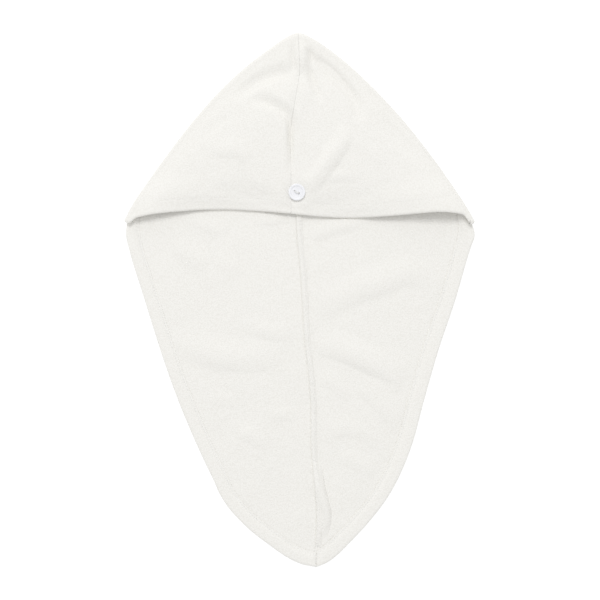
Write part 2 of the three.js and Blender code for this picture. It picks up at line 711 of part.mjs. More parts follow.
const sewnButton = new THREE.Group();
sewnButton.add(named("button", buttonSolid(), buttonPlastic));
sewnButton.add(named("button_thread", threadSolid(), sewingThread));
const buttonPlace = place(BUTTON_ACROSS, BUTTON_DOWN * TOWEL_LENGTH);
seatOnCloth(sewnButton, [leftPanel, rightPanel], buttonPlace.x, buttonPlace.y);

const towel = new THREE.Group();
towel.add(leftPanel, rightPanel, seam, sewnButton);

// The origin is under the middle of the towel, on the surface that it lies on
const extent = new THREE.Box3().setFromObject(towel, true);
const centre = extent.getCenter(new THREE.Vector3());
towel.position.set(-centre.x, -centre.y, -extent.min.z);

export default towel;
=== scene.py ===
"""Dresses the hair turban towel: two halves of terry cloth, the sewn seam, stitches, button and thread.

The towel lies flat with its hood side up on a plain pale floor, seen from straight above. Shapes are worked
out in millimetres, on the same lines as the towel's solids, and made in metres.
"""

import json
import logging
import math
from collections.abc import Callable, Sequence
from dataclasses import dataclass, field
from enum import Enum

import bmesh
import bpy
import numpy as np
from mathutils import Matrix, Vector

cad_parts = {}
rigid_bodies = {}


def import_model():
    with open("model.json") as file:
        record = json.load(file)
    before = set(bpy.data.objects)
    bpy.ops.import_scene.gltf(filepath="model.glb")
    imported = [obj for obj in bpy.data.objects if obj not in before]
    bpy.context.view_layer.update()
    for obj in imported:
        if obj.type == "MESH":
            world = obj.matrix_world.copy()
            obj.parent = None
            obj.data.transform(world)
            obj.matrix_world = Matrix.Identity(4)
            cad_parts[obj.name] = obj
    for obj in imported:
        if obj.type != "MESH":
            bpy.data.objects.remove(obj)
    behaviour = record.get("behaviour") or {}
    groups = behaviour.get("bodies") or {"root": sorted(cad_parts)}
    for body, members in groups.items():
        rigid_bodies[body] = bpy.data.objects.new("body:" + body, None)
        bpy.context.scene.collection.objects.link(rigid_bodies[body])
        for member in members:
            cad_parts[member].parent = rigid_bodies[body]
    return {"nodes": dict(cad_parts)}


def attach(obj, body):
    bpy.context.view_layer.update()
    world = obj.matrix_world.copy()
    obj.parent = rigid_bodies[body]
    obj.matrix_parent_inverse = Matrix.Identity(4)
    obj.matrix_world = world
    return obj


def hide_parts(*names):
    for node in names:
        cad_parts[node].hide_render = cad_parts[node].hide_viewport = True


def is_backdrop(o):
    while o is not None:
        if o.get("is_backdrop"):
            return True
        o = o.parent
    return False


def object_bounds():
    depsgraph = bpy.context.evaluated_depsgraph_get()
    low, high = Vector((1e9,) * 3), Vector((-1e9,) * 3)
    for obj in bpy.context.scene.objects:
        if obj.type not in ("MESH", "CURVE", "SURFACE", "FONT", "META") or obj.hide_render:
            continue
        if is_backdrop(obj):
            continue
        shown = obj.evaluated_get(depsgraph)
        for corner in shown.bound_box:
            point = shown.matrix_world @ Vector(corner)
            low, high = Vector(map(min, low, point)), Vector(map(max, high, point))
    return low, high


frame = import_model()
CAD_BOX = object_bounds()
LOG = logging.getLogger("hair_turban_towel")
MM = 0.001


class Side(Enum):
    """A half of the towel, as the sign of its X."""

    LEFT = -1
    RIGHT = 1


class Lie(Enum):
    """Which way a fold stands, as the sign of its height."""

    RIDGE = 1
    VALLEY = -1


# Curves and tables


def smoothstep(x: np.ndarray | float, low: float, high: float) -> np.ndarray:
    """A level-ended ramp from 0 at low to 1 at high.

    Args:
        x: The values to read the ramp at.
        low: Where the ramp starts.
        high: Where the ramp ends.

    Returns:
        The ramp's values.
    """
    t = np.clip((np.asarray(x, dtype=float) - low) / (high - low), 0.0, 1.0)
    return t * t * (3.0 - 2.0 * t)


def read_table(keys: Sequence[float], values: Sequence[float], at: np.ndarray) -> np.ndarray:
    """Reads a table on a smooth curve with level ends.

    Args:
        keys: The table's rising key column.
        values: The column to read.
        at: The places along the key column.

    Returns:
        The values there.
    """
    k, y = np.asarray(keys, dtype=float), np.asarray(values, dtype=float)
    slope = np.zeros(len(k))
    slope[1:-1] = (y[2:] - y[:-2]) / (k[2:] - k[:-2])
    i = np.searchsorted(k[1:-1], at, side="left")
    run = k[i + 1] - k[i]
    t = np.clip((at - k[i]) / run, 0.0, 1.0)
    start = (1 + 2 * t) * (1 - t) ** 2 * y[i] + t * (1 - t) ** 2 * run * slope[i]
    end = t * t * (3 - 2 * t) * y[i + 1] - t * t * (1 - t) * run * slope[i + 1]
    return start + end


def bell(x: np.ndarray, middle: float, width: float) -> np.ndarray:
    """A rounded bump, 1 at its middle and nearly 0 two widths away."""
    return np.exp(-(((x - middle) / width) ** 2))


def soft_floor(x: np.ndarray, ease: float) -> np.ndarray:
    """Values eased to stay above 0: nearly the same well above it, and nearly 0 well below it."""
    return ease * np.log1p(np.exp(np.clip(x / ease, -40, 40)))


def round_curve(knots: np.ndarray, closed: bool, steps: int) -> np.ndarray:
    """Points of a centripetal curve through knots.

    Args:
        knots: The points that the curve passes, one a row.
        closed: Whether the curve runs back to its first knot.
        steps: How many points each span gets.

    Returns:
        The curve's points, with its last knot, or the first again where it is closed.
    """
    p = np.asarray(knots, dtype=float)
    if closed:
        ext = np.vstack([p[-1], p, p[0], p[1]])
    else:
        ext = np.vstack([2 * p[0] - p[1], p, 2 * p[-1] - p[-2]])
    spans = len(ext) - 3
    p0, p1, p2, p3 = (ext[i : i + spans] for i in range(4))

    def gap(a: np.ndarray, b: np.ndarray) -> np.ndarray:
        """The square root of the distance between two points, as a column."""
        return np.maximum(np.sum((b - a) ** 2, axis=1) ** 0.25, 1e-4)[:, None]

    d0, d1, d2 = gap(p0, p1), gap(p1, p2), gap(p2, p3)
    t1 = ((p1 - p0) / d0 - (p2 - p0) / (d0 + d1) + (p2 - p1) / d1) * d1
    t2 = ((p2 - p1) / d1 - (p3 - p1) / (d1 + d2) + (p3 - p2) / d2) * d1
    t = (np.arange(steps) / steps)[None, :, None]
    a, b, c, d = (m[:, None, :] for m in (p1, t1, 3 * (p2 - p1) - 2 * t1 - t2, 2 * (p1 - p2) + t1 + t2))
    points = (a + b * t + c * t**2 + d * t**3).reshape(-1, p.shape[1])
    return np.vstack([points, p[0] if closed else p[-1]])


class Line:
    """A smooth line in plan or in space, read by its share of length."""

    def __init__(self, points: np.ndarray) -> None:
        """Keeps the points and their places along the line."""
        self.points = np.asarray(points, dtype=float)
        steps = np.linalg.norm(np.diff(self.points, axis=0), axis=1)
        self.along = np.concatenate([[0.0], np.cumsum(steps)])
        self.length = float(self.along[-1])

    def at(self, share: np.ndarray | float) -> np.ndarray:
        """The points at shares of the length."""
        s = np.asarray(share, dtype=float) * self.length
        return np.stack([np.interp(s, self.along, column) for column in self.points.T], axis=-1)

    def tangent(self, share: np.ndarray | float) -> np.ndarray:
        """The unit directions at shares of the length."""
        s = np.asarray(share, dtype=float)
        run = self.at(np.minimum(s + 1e-3, 1.0)) - self.at(np.maximum(s - 1e-3, 0.0))
        return run / np.linalg.norm(run, axis=-1, keepdims=True)

    def inset(self, share: np.ndarray | float, turn: float, amount: float) -> np.ndarray:
        """Plan points moved sideways: turn 1 is to the left of the line's direction, -1 to the right."""
        along = self.tangent(share)
        return self.at(share) + np.stack([-along[..., 1], along[..., 0]], axis=-1) * (turn * amount)


class CoarseNoise:
    """Smooth seeded noise in space, for the small unevenness of cloth."""

    def __init__(self, seed: int) -> None:
        """Draws the lattice of values from the seed."""
        self.values = np.random.default_rng(seed).uniform(-1.0, 1.0, 4096)

    def at(self, points: np.ndarray, cell: float) -> np.ndarray:
        """Reads the noise.

        Args:
            points: Places in millimetres, one a row.
            cell: The distance between independent values.

        Returns:
            Values between -1 and 1.
        """
        q = np.asarray(points) / cell
        base = np.floor(q).astype(np.int64)
        f = q - base
        f = f * f * f * (f * (f * 6 - 15) + 10)
        total = np.zeros(len(q))
        for corner in range(8):
            step = np.array([corner & 1, corner >> 1 & 1, corner >> 2 & 1])
            key = (base + step) @ np.array([73856093, 19349663, 83492791])
            weight = np.prod(np.where(step == 1, f, 1 - f), axis=1)
            total += weight * self.values[(key ^ key >> 13) & 4095]
        return total


# The towel's sizes and tables, as in its solids


@dataclass(frozen=True)
class TowelSizes:
    """Named sizes of the towel in millimetres."""

    length: float = 640.0
    width: float = 422.0
    hood_length: float = 234.0
    cloth: float = 2.5
    hem_width: float = 16.0
    hem_space: float = 0.5
    seam_width: float = 6.0
    seam_height: float = 2.0
    seam_roll: float = 0.8
    seam_roll_reach: float = 9.0
    sewn_gap: float = 0.3
    fold_air: float = 3.0
    apex_air: float = 1.0
    corner_air: float = 1.0
    nape_air: float = 4.4
    flap_lift: float = 10.0
    button_across: float = -0.021
    button_down: float = 0.3

    @property
    def half_width(self) -> float:
        """Half the towel's width."""
        return self.width / 2

    @property
    def tail_length(self) -> float:
        """From the level of the corners to the tip."""
        return self.length - self.hood_length

    @property
    def hem_radius(self) -> float:
        """Radius of the turned hem, to the middle of the cloth."""
        return (self.cloth + self.hem_space) / 2

    @property
    def hem_inset(self) -> float:
        """From the outline to where the hem starts to turn."""
        return self.hem_radius + self.cloth / 2

    @property
    def seam_seat(self) -> float:
        """From the middle of the cloth to the seam allowance."""
        return self.cloth / 2 + self.sewn_gap

    @property
    def fold_radius(self) -> float:
        """Radius of the folded upper edge."""
        return (self.cloth + self.fold_air) / 2

    @property
    def apex_radius(self) -> float:
        """Radius of the fold at the apex, where the seam runs round inside it."""
        return self.seam_roll + self.seam_seat + self.seam_height + self.apex_air / 2

    @property
    def corner_radius(self) -> float:
        """Radius of the fold at a corner, where the hem runs round inside it."""
        return 2 * self.hem_radius + (self.cloth + self.corner_air) / 2

    @property
    def nape_rise(self) -> float:
        """From the back layer to the flap at the nape, both at mid cloth."""
        return self.cloth + self.nape_air + 2 * self.hem_radius


# Edge points as (down, across). across is a share of half the width. down is a share of the hood's length on
# the hood's rows and of the tail's length on the tail's rows.
LEFT_HOOD = ((0.026, -0.081), (0.067, -0.149), (0.149, -0.274), (0.272, -0.427), (0.436, -0.592),
             (0.6, -0.734), (0.764, -0.865), (0.887, -0.956), (0.944, -0.988))
LEFT_CORNER = (0.965, -1.0)
LEFT_TAIL = ((0.0, -0.996), (0.028, -0.988), (0.077, -0.966), (0.218, -0.881), (0.359, -0.796),
             (0.501, -0.7), (0.642, -0.586), (0.736, -0.501), (0.807, -0.433), (0.878, -0.314),
             (0.937, -0.172), (0.98, -0.045))
RIGHT_HOOD = ((0.026, 0.061), (0.067, 0.135), (0.149, 0.254), (0.272, 0.402), (0.436, 0.572),
              (0.6, 0.719), (0.764, 0.85), (0.887, 0.94), (0.949, 0.979))
RIGHT_CORNER = (0.972, 0.992)
RIGHT_TAIL = ((0.0, 1.0), (0.028, 0.988), (0.077, 0.957), (0.218, 0.878), (0.359, 0.787),
              (0.501, 0.708), (0.642, 0.634), (0.736, 0.56), (0.807, 0.481), (0.878, 0.373),
              (0.937, 0.265), (0.978, 0.18))
# The seams as (down, across), down being a share of the towel's length and of the flap's
BACK_SEAM = ((0.0, -0.01), (0.35, -0.007), (0.451, 0.019), (0.571, 0.039), (0.681, 0.073),
             (0.78, 0.077), (0.889, 0.105), (0.949, 0.101), (1.0, 0.09))
FLAP_SEAM = ((0.0, -0.01), (0.2, -0.004), (0.4, -0.035), (0.55, -0.055), (0.8, -0.052), (1.0, -0.052))
# The flap's edge as (across, down), down being a share of the hood's length
MOUTH = ((-0.94, 0.954), (-0.89, 0.941), (-0.796, 0.928), (-0.682, 0.918), (-0.512, 0.908),
         (-0.285, 0.913), (-0.052, 0.929), (0.112, 0.944), (0.282, 0.951), (0.509, 0.941),
         (0.68, 0.928), (0.793, 0.922), (0.889, 0.928), (0.935, 0.94))
# How far the flap's edge sags below the solid's, as (X, depth) in millimetres
SAG = ((-205.0, 0.0), (-165.0, 0.9), (-120.0, 3.0), (-70.0, 3.1), (-36.0, 3.0), (-14.0, 2.0), (4.0, 2.0),
       (26.0, 3.0), (66.0, 3.3), (100.0, 2.3), (150.0, 0.0), (205.0, 0.0))


@dataclass(frozen=True)
class Fullness:
    """The flap's fullness at one row, as shares of its lift: at the seam, mid half and the edge."""

    row: float
    seam: float
    left: tuple[float, float]
    right: tuple[float, float]


FULLNESS = (
    Fullness(0.0, 0.0, (0.0, 0.0), (0.0, 0.0)),
    Fullness(0.16, 0.2, (0.42, 0.36), (0.4, 0.8)),
    Fullness(0.4, 0.42, (0.6, 0.0), (0.6, 0.4)),
    Fullness(0.7, 0.3, (0.3, -0.24), (0.34, -0.14)),
    Fullness(1.0, 0.0, (0.0, 0.0), (0.0, 0.0)),
)


# Folds in which the cloth lies

# How far the foot of a ridge's steep flank is rounded, as a share of the ridge's height
RIDGE_FOOT = 0.06

@dataclass(frozen=True)
class Ruck:
    """One soft fold: gentle to the left of its route and steep to the right of it.

    The route's plan points and all sizes are in millimetres. lead is how far the fold's top, or a valley's
    bottom, lies to the left of the route, as a share of the steep side.
    """

    name: str
    lie: Lie
    route: tuple[tuple[float, float], ...]
    height: float
    steep: float
    soft: float
    lead: float = 0.6

    def rise(self, x: np.ndarray, y: np.ndarray) -> np.ndarray:
        """How far this fold raises the cloth.

        Args:
            x: Plan places, X in millimetres.
            y: Plan places, Y in millimetres.

        Returns:
            The rise in millimetres at each place.
        """
        line = Line(round_curve(np.array(self.route), False, 4))
        reach = self.steep * (1 + abs(self.lead)) + self.soft
        low, high = line.points.min(axis=0) - reach, line.points.max(axis=0) + reach
        near = (x > low[0]) & (x < high[0]) & (y > low[1]) & (y < high[1])
        out = np.zeros(x.shape)
        if near.any():
            aside, share = self.measure(line, x[near], y[near])
            run_out = np.maximum(np.sin(math.pi * share), 0) ** 0.8
            out[near] = self.lie.value * self.height * run_out * self.section(aside)
        return out

    @staticmethod
    def measure(line: Line, x: np.ndarray, y: np.ndarray) -> tuple[np.ndarray, np.ndarray]:
        """Places beside the route.

        Args:
            line: The route.
            x: Plan places, X.
            y: Plan places, Y.

        Returns:
            How far each place lies to the right of the route, and its share of the route's length.
        """
        best = np.full(x.shape, np.inf)
        aside, share = np.zeros(x.shape), np.zeros(x.shape)
        for i, (p, q) in enumerate(zip(line.points[:-1], line.points[1:])):
            run = q - p
            along = np.clip(((x - p[0]) * run[0] + (y - p[1]) * run[1]) / (run @ run), 0, 1)
            dx, dy = x - p[0] - along * run[0], y - p[1] - along * run[1]
            away = np.hypot(dx, dy)
            nearer = away < best
            best = np.where(nearer, away, best)
            aside = np.where(nearer, np.sign(dx * run[1] - dy * run[0]) * away, aside)
            place = line.along[i] + along * (line.along[i + 1] - line.along[i])
            share = np.where(nearer, place / line.length, share)
        return aside, share

    def section(self, aside: np.ndarray) -> np.ndarray:
        """The cross-section, 1 at the top. A ridge's steep flank is rounded and ends in a sharp foot."""
        t = aside / self.steep + self.lead
        back = 1 - smoothstep(-t * self.steep, 0, self.soft)
        flank = 1 - smoothstep(t, 0, 1) if self.lie is Lie.VALLEY else soft_floor(1 - t * t, RIDGE_FOOT)
        return np.where(t > 0, flank, back)


TAIL_RUCKS = (
    Ruck("right, long", Lie.RIDGE,
         ((17, -59), (42, -65), (60, -72), (77, -80), (98, -89), (128, -97)), 2.4, 14, 26, 0.5),
    Ruck("right, its branch", Lie.RIDGE, ((99, -90), (108, -101), (115, -113)), 0.7, 8, 12),
    Ruck("right, arched", Lie.RIDGE,
         ((26, -17), (54, -4), (78, 7), (101, 14), (122, 23), (139, 23), (153, 16), (163, 2)),
         2.0, 17, 26, 0.5),
    Ruck("left, long", Lie.RIDGE,
         ((-156, -48), (-142, -61), (-123, -73), (-99, -80), (-72, -83), (-46, -82), (-19, -74)), 2.0, 17, 26,
         0.75),
    Ruck("left, under the corner", Lie.RIDGE,
         ((-159, 65), (-144, 47), (-132, 38), (-120, 29)), 1.5, 14, 18, 0.9),
    Ruck("left, short slanted", Lie.RIDGE, ((-106, 46), (-89, 34), (-77, 22)), 0.8, 12, 14, 0.75),
    Ruck("right, under the flap", Lie.RIDGE,
         ((2, 82), (19, 77), (38, 83), (60, 88), (84, 95)), 1.3, 11, 14, 0.4),
    Ruck("left, under the flap", Lie.RIDGE,
         ((-137, 94), (-120, 85), (-103, 78), (-89, 74)), 1.1, 11, 14, 0.75),
    Ruck("middle, under the flap", Lie.RIDGE, ((-60, 97), (-41, 92), (-24, 94), (-10, 97)), 0.8, 8, 10, 0.5),
    Ruck("right, below the long one", Lie.RIDGE,
         ((21, -98), (36, -103), (45, -113), (53, -125)), 0.8, 10, 14),
    Ruck("right, low arched", Lie.RIDGE, ((31, -166), (55, -160), (74, -166), (93, -178)), 0.9, 12, 18),
    Ruck("left, beside the seam", Lie.RIDGE, ((-72, -26), (-60, -38), (-39, -44), (-7, -47)), 1.0, 11, 16),
    Ruck("left, lower outer", Lie.RIDGE, ((-114, -126), (-94, -125), (-72, -131)), 0.6, 10, 14),
    Ruck("left, lower inner", Lie.RIDGE, ((-39, -145), (-22, -142), (-3, -144)), 0.7, 9, 12),
    Ruck("left, lowest", Lie.RIDGE, ((-77, -163), (-60, -168), (-46, -180)), 0.7, 10, 14),
    Ruck("right, slanted", Lie.RIDGE, ((62, -102), (81, -118), (98, -138), (113, -158)), 0.7, 12, 18),
    Ruck("right, lowest", Lie.RIDGE, ((36, -192), (62, -199), (86, -214)), 0.6, 10, 16),
    Ruck("inside the right hem", Lie.VALLEY,
         ((62, -270), (84, -246), (105, -216), (120, -186), (129, -156), (132, -126)), 1.1, 8, 26, 0.2),
    Ruck("wedge by the seam", Lie.RIDGE,
         ((31, -283), (35, -266), (34, -248), (29, -230), (26, -214), (22, -194)), 3.2, 5.5, 9, 0.75),
)
HOOD_RUCKS = (
    Ruck("left arc", Lie.VALLEY,
         ((-77, 239), (-69, 250), (-58, 259), (-46, 266), (-33, 271), (-19, 274), (-7, 275)),
         3.2, 11, 15, -0.3),
    Ruck("right arc", Lie.VALLEY,
         ((4, 300), (11, 290), (21, 282), (32, 273), (43, 262), (52, 252), (61, 240), (67, 226), (69, 212)),
         4.2, 12, 11, 0.2),
    Ruck("beside the right arc", Lie.VALLEY,
         ((25, 235), (18, 250), (13, 263), (11, 276), (9, 288)), 2.6, 7, 8, -0.2),
    Ruck("short, left", Lie.RIDGE, ((-22, 226), (-25, 242), (-30, 257)), 0.8, 8, 10, 0.5),
    Ruck("hooked", Lie.VALLEY,
         ((-63, 239), (-45, 234), (-29, 228), (-18, 218), (-13, 205), (-13, 190), (-12, 173)),
         3.2, 9, 14, 0.2),
    Ruck("towards the button", Lie.RIDGE,
         ((9, 128), (21, 142), (33, 157), (44, 173), (53, 188), (60, 206)), 2.9, 13, 14, 0.4),
    Ruck("hooked, its stem", Lie.VALLEY,
         ((-12, 152), (-11, 172), (-12, 190), (-12, 205), (-15, 218)), 1.9, 7, 6, 0.0),
    Ruck("left, under the bulge", Lie.RIDGE,
         ((-111, 179), (-94, 174), (-77, 172), (-64, 162)), 1.2, 10, 18, 0.5),
    Ruck("left, over the bulge", Lie.VALLEY,
         ((-115, 187), (-107, 199), (-95, 210), (-82, 216)), 0.9, 9, 12, 0.2),
    Ruck("right, long slope", Lie.VALLEY,
         ((89, 226), (103, 206), (116, 190), (132, 176), (141, 163)), 1.3, 14, 24, 0),
    Ruck("right of the button", Lie.RIDGE, ((21, 136), (45, 143), (74, 144)), 0.7, 8, 10),
    Ruck("left of the button", Lie.RIDGE, ((-63, 146), (-53, 137), (-43, 125)), 0.6, 8, 10),
    Ruck("right, short", Lie.RIDGE, ((77, 180), (86, 170), (91, 156)), 0.6, 9, 10),
    Ruck("left pit at the apex", Lie.VALLEY, ((-10, 307), (-9, 293), (-8, 281), (-7, 270)), 2.4, 6, 6, 0.0),
    Ruck("right pit at the apex", Lie.VALLEY, ((13, 307), (12, 300), (13, 292), (14, 282)), 2.2, 6, 6, 0.0),
    Ruck("hollow below the apex", Lie.VALLEY,
         ((-36, 262), (-18, 268), (0, 270), (20, 268), (40, 260)), 2.2, 24, 26, 0.0),
    Ruck("seam at the apex", Lie.RIDGE, ((2, 309), (3, 296), (3, 284), (2, 270)), 1.1, 6, 6, 0.0),
)


@dataclass
class Outline:
    """The towel's outline from above, and its four named points."""

    sizes: TowelSizes
    steps: int = 40

    def __post_init__(self) -> None:
        """Lays the outline through its tables of edge points."""
        hood, tail = self.sizes.hood_length, self.sizes.tail_length

        def places(rows: Sequence[tuple[float, float]], start: float, run: float) -> list[np.ndarray]:
            """Plan points of a table's rows."""
            return [self.place(across, start + down * run) for down, across in rows]

        self.apex = self.place(BACK_SEAM[0][1], 0)
        self.tip = self.place(BACK_SEAM[-1][1], self.sizes.length)
        knots = [
            self.apex,
            *places(LEFT_HOOD, 0, hood),
            *places([LEFT_CORNER], 0, hood),
            *places(LEFT_TAIL, hood, tail),
            self.tip,
            *places(RIGHT_TAIL[::-1], hood, tail),
            *places([RIGHT_CORNER], 0, hood),
            *places(RIGHT_HOOD[::-1], 0, hood),
        ]
        self.points = round_curve(np.array(knots), True, self.steps)
        left = 1 + len(LEFT_HOOD)
        tip = left + 1 + len(LEFT_TAIL)
        right = tip + 1 + len(RIGHT_TAIL)
        self.index = {"apex": 0, "left": left, "tip": tip, "right": right, "end": len(knots)}

    def place(self, across: float, down: float) -> np.ndarray:
        """A plan point from a share of half the width and a distance below the apex."""
        return np.array([across * self.sizes.half_width, self.sizes.length / 2 - down])

    def span(self, start: str, stop: str) -> Line:
        """The outline from one named point to the next one of a side."""
        a, b = self.index[start], self.index[stop]
        if (start, stop) == ("apex", "right"):
            a = self.index["end"]
        low, high = min(a, b) * self.steps, max(a, b) * self.steps + 1
        points = self.points[low:high]
        return Line(points if b > a else points[::-1])


@dataclass(frozen=True)
class Divisions:
    """How finely a half of the towel is divided."""

    tail: int = 262
    covered: int = 46
    covered_from: float = 0.69
    arch: int = 10
    flap: int = 106
    beside_seam: int = 15
    beside_width: float = 7.5
    columns: int = 64
    turn: int = 6


# Places across the hem's band, from its sewn edge (1) to the turned edge (0), as shares of its width
BAND = (1.0, 0.965, 0.93, 0.895, 0.86, 0.835, 0.81, 0.77, 0.68, 0.54, 0.38, 0.22, 0.08, 0.0)
# The nap's clumps as (share of its height, share of its cell, shift in millimetres)
NAP_CLUMPS = ((0.55, 1.0, 0.0), (0.45, 0.55, 91.7), (0.35, 4.5, 37.1))
Faces = list[tuple[int, ...]]


@dataclass
class ClothGrid:
    """A grid of points down the middle of a cloth, its inside directions and the wall on either side."""

    point: np.ndarray
    inside: np.ndarray
    inner: np.ndarray
    outer: np.ndarray


@dataclass
class HalfSurface:
    """One half of the towel as a surface down the middle of its cloth.

    u runs from the seam (0) to the hem (1). v runs from the tip up the back (0 to 1), round the upper fold
    (1 to 2) and down the flap (2 to 3). A pair of numbers says where a ramp starts and ends. Those named
    clear keep the folds off an edge or the button, in millimetres from it.
    """

    side: Side
    outline: Outline
    sizes: TowelSizes
    noise: CoarseNoise
    apex_blend: float = 0.05
    apex_reach: float = 0.15
    corner_ramp: tuple[float, float] = (0.78, 0.92)
    edge_points: int = 30
    drawn_gap: float = 0.04
    drawn_reach: float = 0.05
    fold_depth: float = 1.55
    valley_limit: float = 0.4
    tip_clear: float = 0.04
    hem_clear: tuple[float, float] = (5.0, 24.0)
    fold_clear: tuple[float, float] = (3.0, 14.0)
    mouth_clear: tuple[float, float] = (4.0, 16.0)
    button_clear: tuple[float, float] = (10.0, 20.0)
    ring_height: float = 0.8
    ring_inside: tuple[float, float] = (10.0, 15.0)
    ring_outside: tuple[float, float] = (18.0, 30.0)
    flap_roll: float = 0.5
    flap_roll_ramp: tuple[float, float] = (0.2, 0.4)
    sag_reach: float = 36.0
    sag_clear: tuple[float, float] = (2.0, 24.0)
    rest_air: float = 0.6
    rest_ease: float = 0.45
    broad: float = 0.5
    broad_cell: float = 33.0
    small: float = 0.22
    small_cell: float = 12.0
    small_shift: float = 17.3
    flap_shift: float = 400.0

    def __post_init__(self) -> None:
        """Lays the half's four edges."""
        sizes, outline = self.sizes, self.outline
        self.sign = self.side.value
        corner = "left" if self.side is Side.LEFT else "right"
        self.fold = outline.span("apex", corner)
        self.fold_end = 1 - sizes.hem_inset / self.fold.length
        self.fold_start = self.fold_base(np.array(0.0))
        self.fold_stop = self.fold_base(np.array(1.0))
        self.tail_edge = self.lay_tail_edge(outline.span("tip", corner))
        self.mouth_edge = self.lay_mouth_edge()
        self.nape = self.mouth_edge.at(1.0)
        order = np.argsort(self.mouth_edge.points[:, 0])
        self.mouth_x, self.mouth_y = self.mouth_edge.points[order].T
        self.button = outline.place(sizes.button_across, sizes.button_down * sizes.length)

    def fold_radius(self, u: np.ndarray) -> np.ndarray:
        """Radius of the upper fold along it: wide at the apex and at the corner."""
        s = self.sizes
        at_apex = (s.apex_radius - s.fold_radius) * (1 - smoothstep(u, 0, self.apex_reach))
        at_corner = (s.corner_radius - s.fold_radius) * smoothstep(u, *self.corner_ramp)
        return s.fold_radius + at_apex + at_corner

    def fold_plan(self, u: np.ndarray, inset: np.ndarray) -> np.ndarray:
        """Plan points of the upper fold, a distance in from the outline."""
        outer = self.fold.at(u * self.fold_end)
        inner = self.fold.inset(u * self.fold_end, -self.sign, 1.0)
        down = np.array([0.0, -1.0])
        inward = down + (inner - outer - down) * smoothstep(u, 0, self.apex_blend)[..., None]
        inward = inward / np.linalg.norm(inward, axis=-1, keepdims=True)
        return outer + inward * np.asarray(inset)[..., None]

    def fold_base(self, u: np.ndarray) -> np.ndarray:
        """Where the upper fold starts to turn."""
        return self.fold_plan(u, self.sizes.cloth / 2 + self.fold_radius(u))

    def fold_bow(self, u: np.ndarray) -> np.ndarray:
        """How far the upper fold bows out from the straight line between its ends."""
        straight = self.fold_start + (self.fold_stop - self.fold_start) * np.asarray(u)[..., None]
        return self.fold_base(u) - straight

    def lay_tail_edge(self, span: Line) -> Line:
        """The middle of the hem's turn from the tip to the corner."""
        start = self.outline.tip + np.array([0.0, self.sizes.hem_inset])
        shares = np.arange(1, self.edge_points) / self.edge_points
        points = span.inset(shares, self.sign, self.sizes.hem_inset)
        return Line(round_curve(np.vstack([start, points, self.fold_stop]), False, 30))

    def lay_mouth_edge(self) -> Line:
        """The middle of the hem's turn from the corner to the nape."""
        s, nape = self.sizes, FLAP_SEAM[-1][1]
        rows = [row for row in MOUTH if (row[0] - nape) * self.sign >= 0]
        points = [self.outline.place(across, down * s.hood_length - s.hem_inset) for across, down in rows]
        if self.side is Side.RIGHT:
            points.reverse()
        return Line(round_curve(np.vstack([self.fold_stop, *points]), False, 60))

    def seam_roll(self, distance: np.ndarray) -> np.ndarray:
        """How far the cloth beside the seam turns to the inside."""
        return self.sizes.seam_roll * (1 - smoothstep(np.abs(distance), 0, self.sizes.seam_roll_reach))

    def unevenness(self, plan: np.ndarray, shift: float) -> np.ndarray:
        """The cloth's broad and small unevenness.

        Args:
            plan: Plan points, one a row.
            shift: Where the layer reads the noise, so that the two layers differ.

        Returns:
            The rise in millimetres at each point.
        """
        places = np.concatenate([plan, np.full((len(plan), 1), shift)], axis=1)
        broad = self.broad * self.noise.at(places, self.broad_cell)
        return broad + self.small * self.noise.at(places + self.small_shift, self.small_cell)

    def folds(self, plan: np.ndarray, rucks: Sequence[Ruck]) -> np.ndarray:
        """How far a layer's folds raise the cloth."""
        return self.fold_depth * sum(ruck.rise(plan[:, 0], plan[:, 1]) for ruck in rucks)

    def sag(self, plan: np.ndarray) -> np.ndarray:
        """How far the flap's edge sags."""
        above = plan[:, 1] - np.interp(plan[:, 0], self.mouth_x, self.mouth_y)
        return read_table(*zip(*SAG), plan[:, 0]) * (1 - smoothstep(above, 0, self.sag_reach))

    def back_point(self, u: np.ndarray, v: np.ndarray) -> np.ndarray:
        """Points of the back layer.

        Args:
            u: Shares from the seam to the hem.
            v: Shares from the tip to the upper fold.

        Returns:
            Points in millimetres, one a row.
        """
        s = self.sizes
        low = self.outline.tip[1] + s.hem_inset
        y = low + (self.fold_start[1] - low) * v
        seam = np.stack([s.half_width * read_table(*zip(*BACK_SEAM), 1 - v), y], axis=-1)
        edge = self.tail_edge.at(v)
        plan = seam + (edge - seam) * u[:, None] + self.fold_bow(u) * v[:, None]
        held = smoothstep(np.linalg.norm(edge - plan, axis=1), *self.hem_clear)
        held = held * smoothstep(1 - v, 0, self.tip_clear)
        folds = np.maximum(self.folds(plan, TAIL_RUCKS), -self.valley_limit * s.cloth)
        z = s.cloth / 2 + (folds + self.unevenness(plan, 0)) * held + self.seam_roll(plan[:, 0] - seam[:, 0])
        return np.concatenate([plan, z[:, None]], axis=1)

    def arch_point(self, u: np.ndarray, v: np.ndarray) -> np.ndarray:
        """Points of the turn of the upper fold.

        Args:
            u: Shares from the seam to the hem.
            v: Shares of the turn, from the back layer to the flap.

        Returns:
            Points in millimetres, one a row.
        """
        radius = self.fold_radius(u)
        turned = radius - self.seam_roll(self.fold_base(u)[:, 0] - self.fold_start[0])
        angle = math.pi * (v - 0.5)
        plan = self.fold_plan(u, self.sizes.cloth / 2 + radius - turned * np.cos(angle))
        z = self.sizes.cloth / 2 + radius + turned * np.sin(angle)
        return np.concatenate([plan, z[:, None]], axis=1)

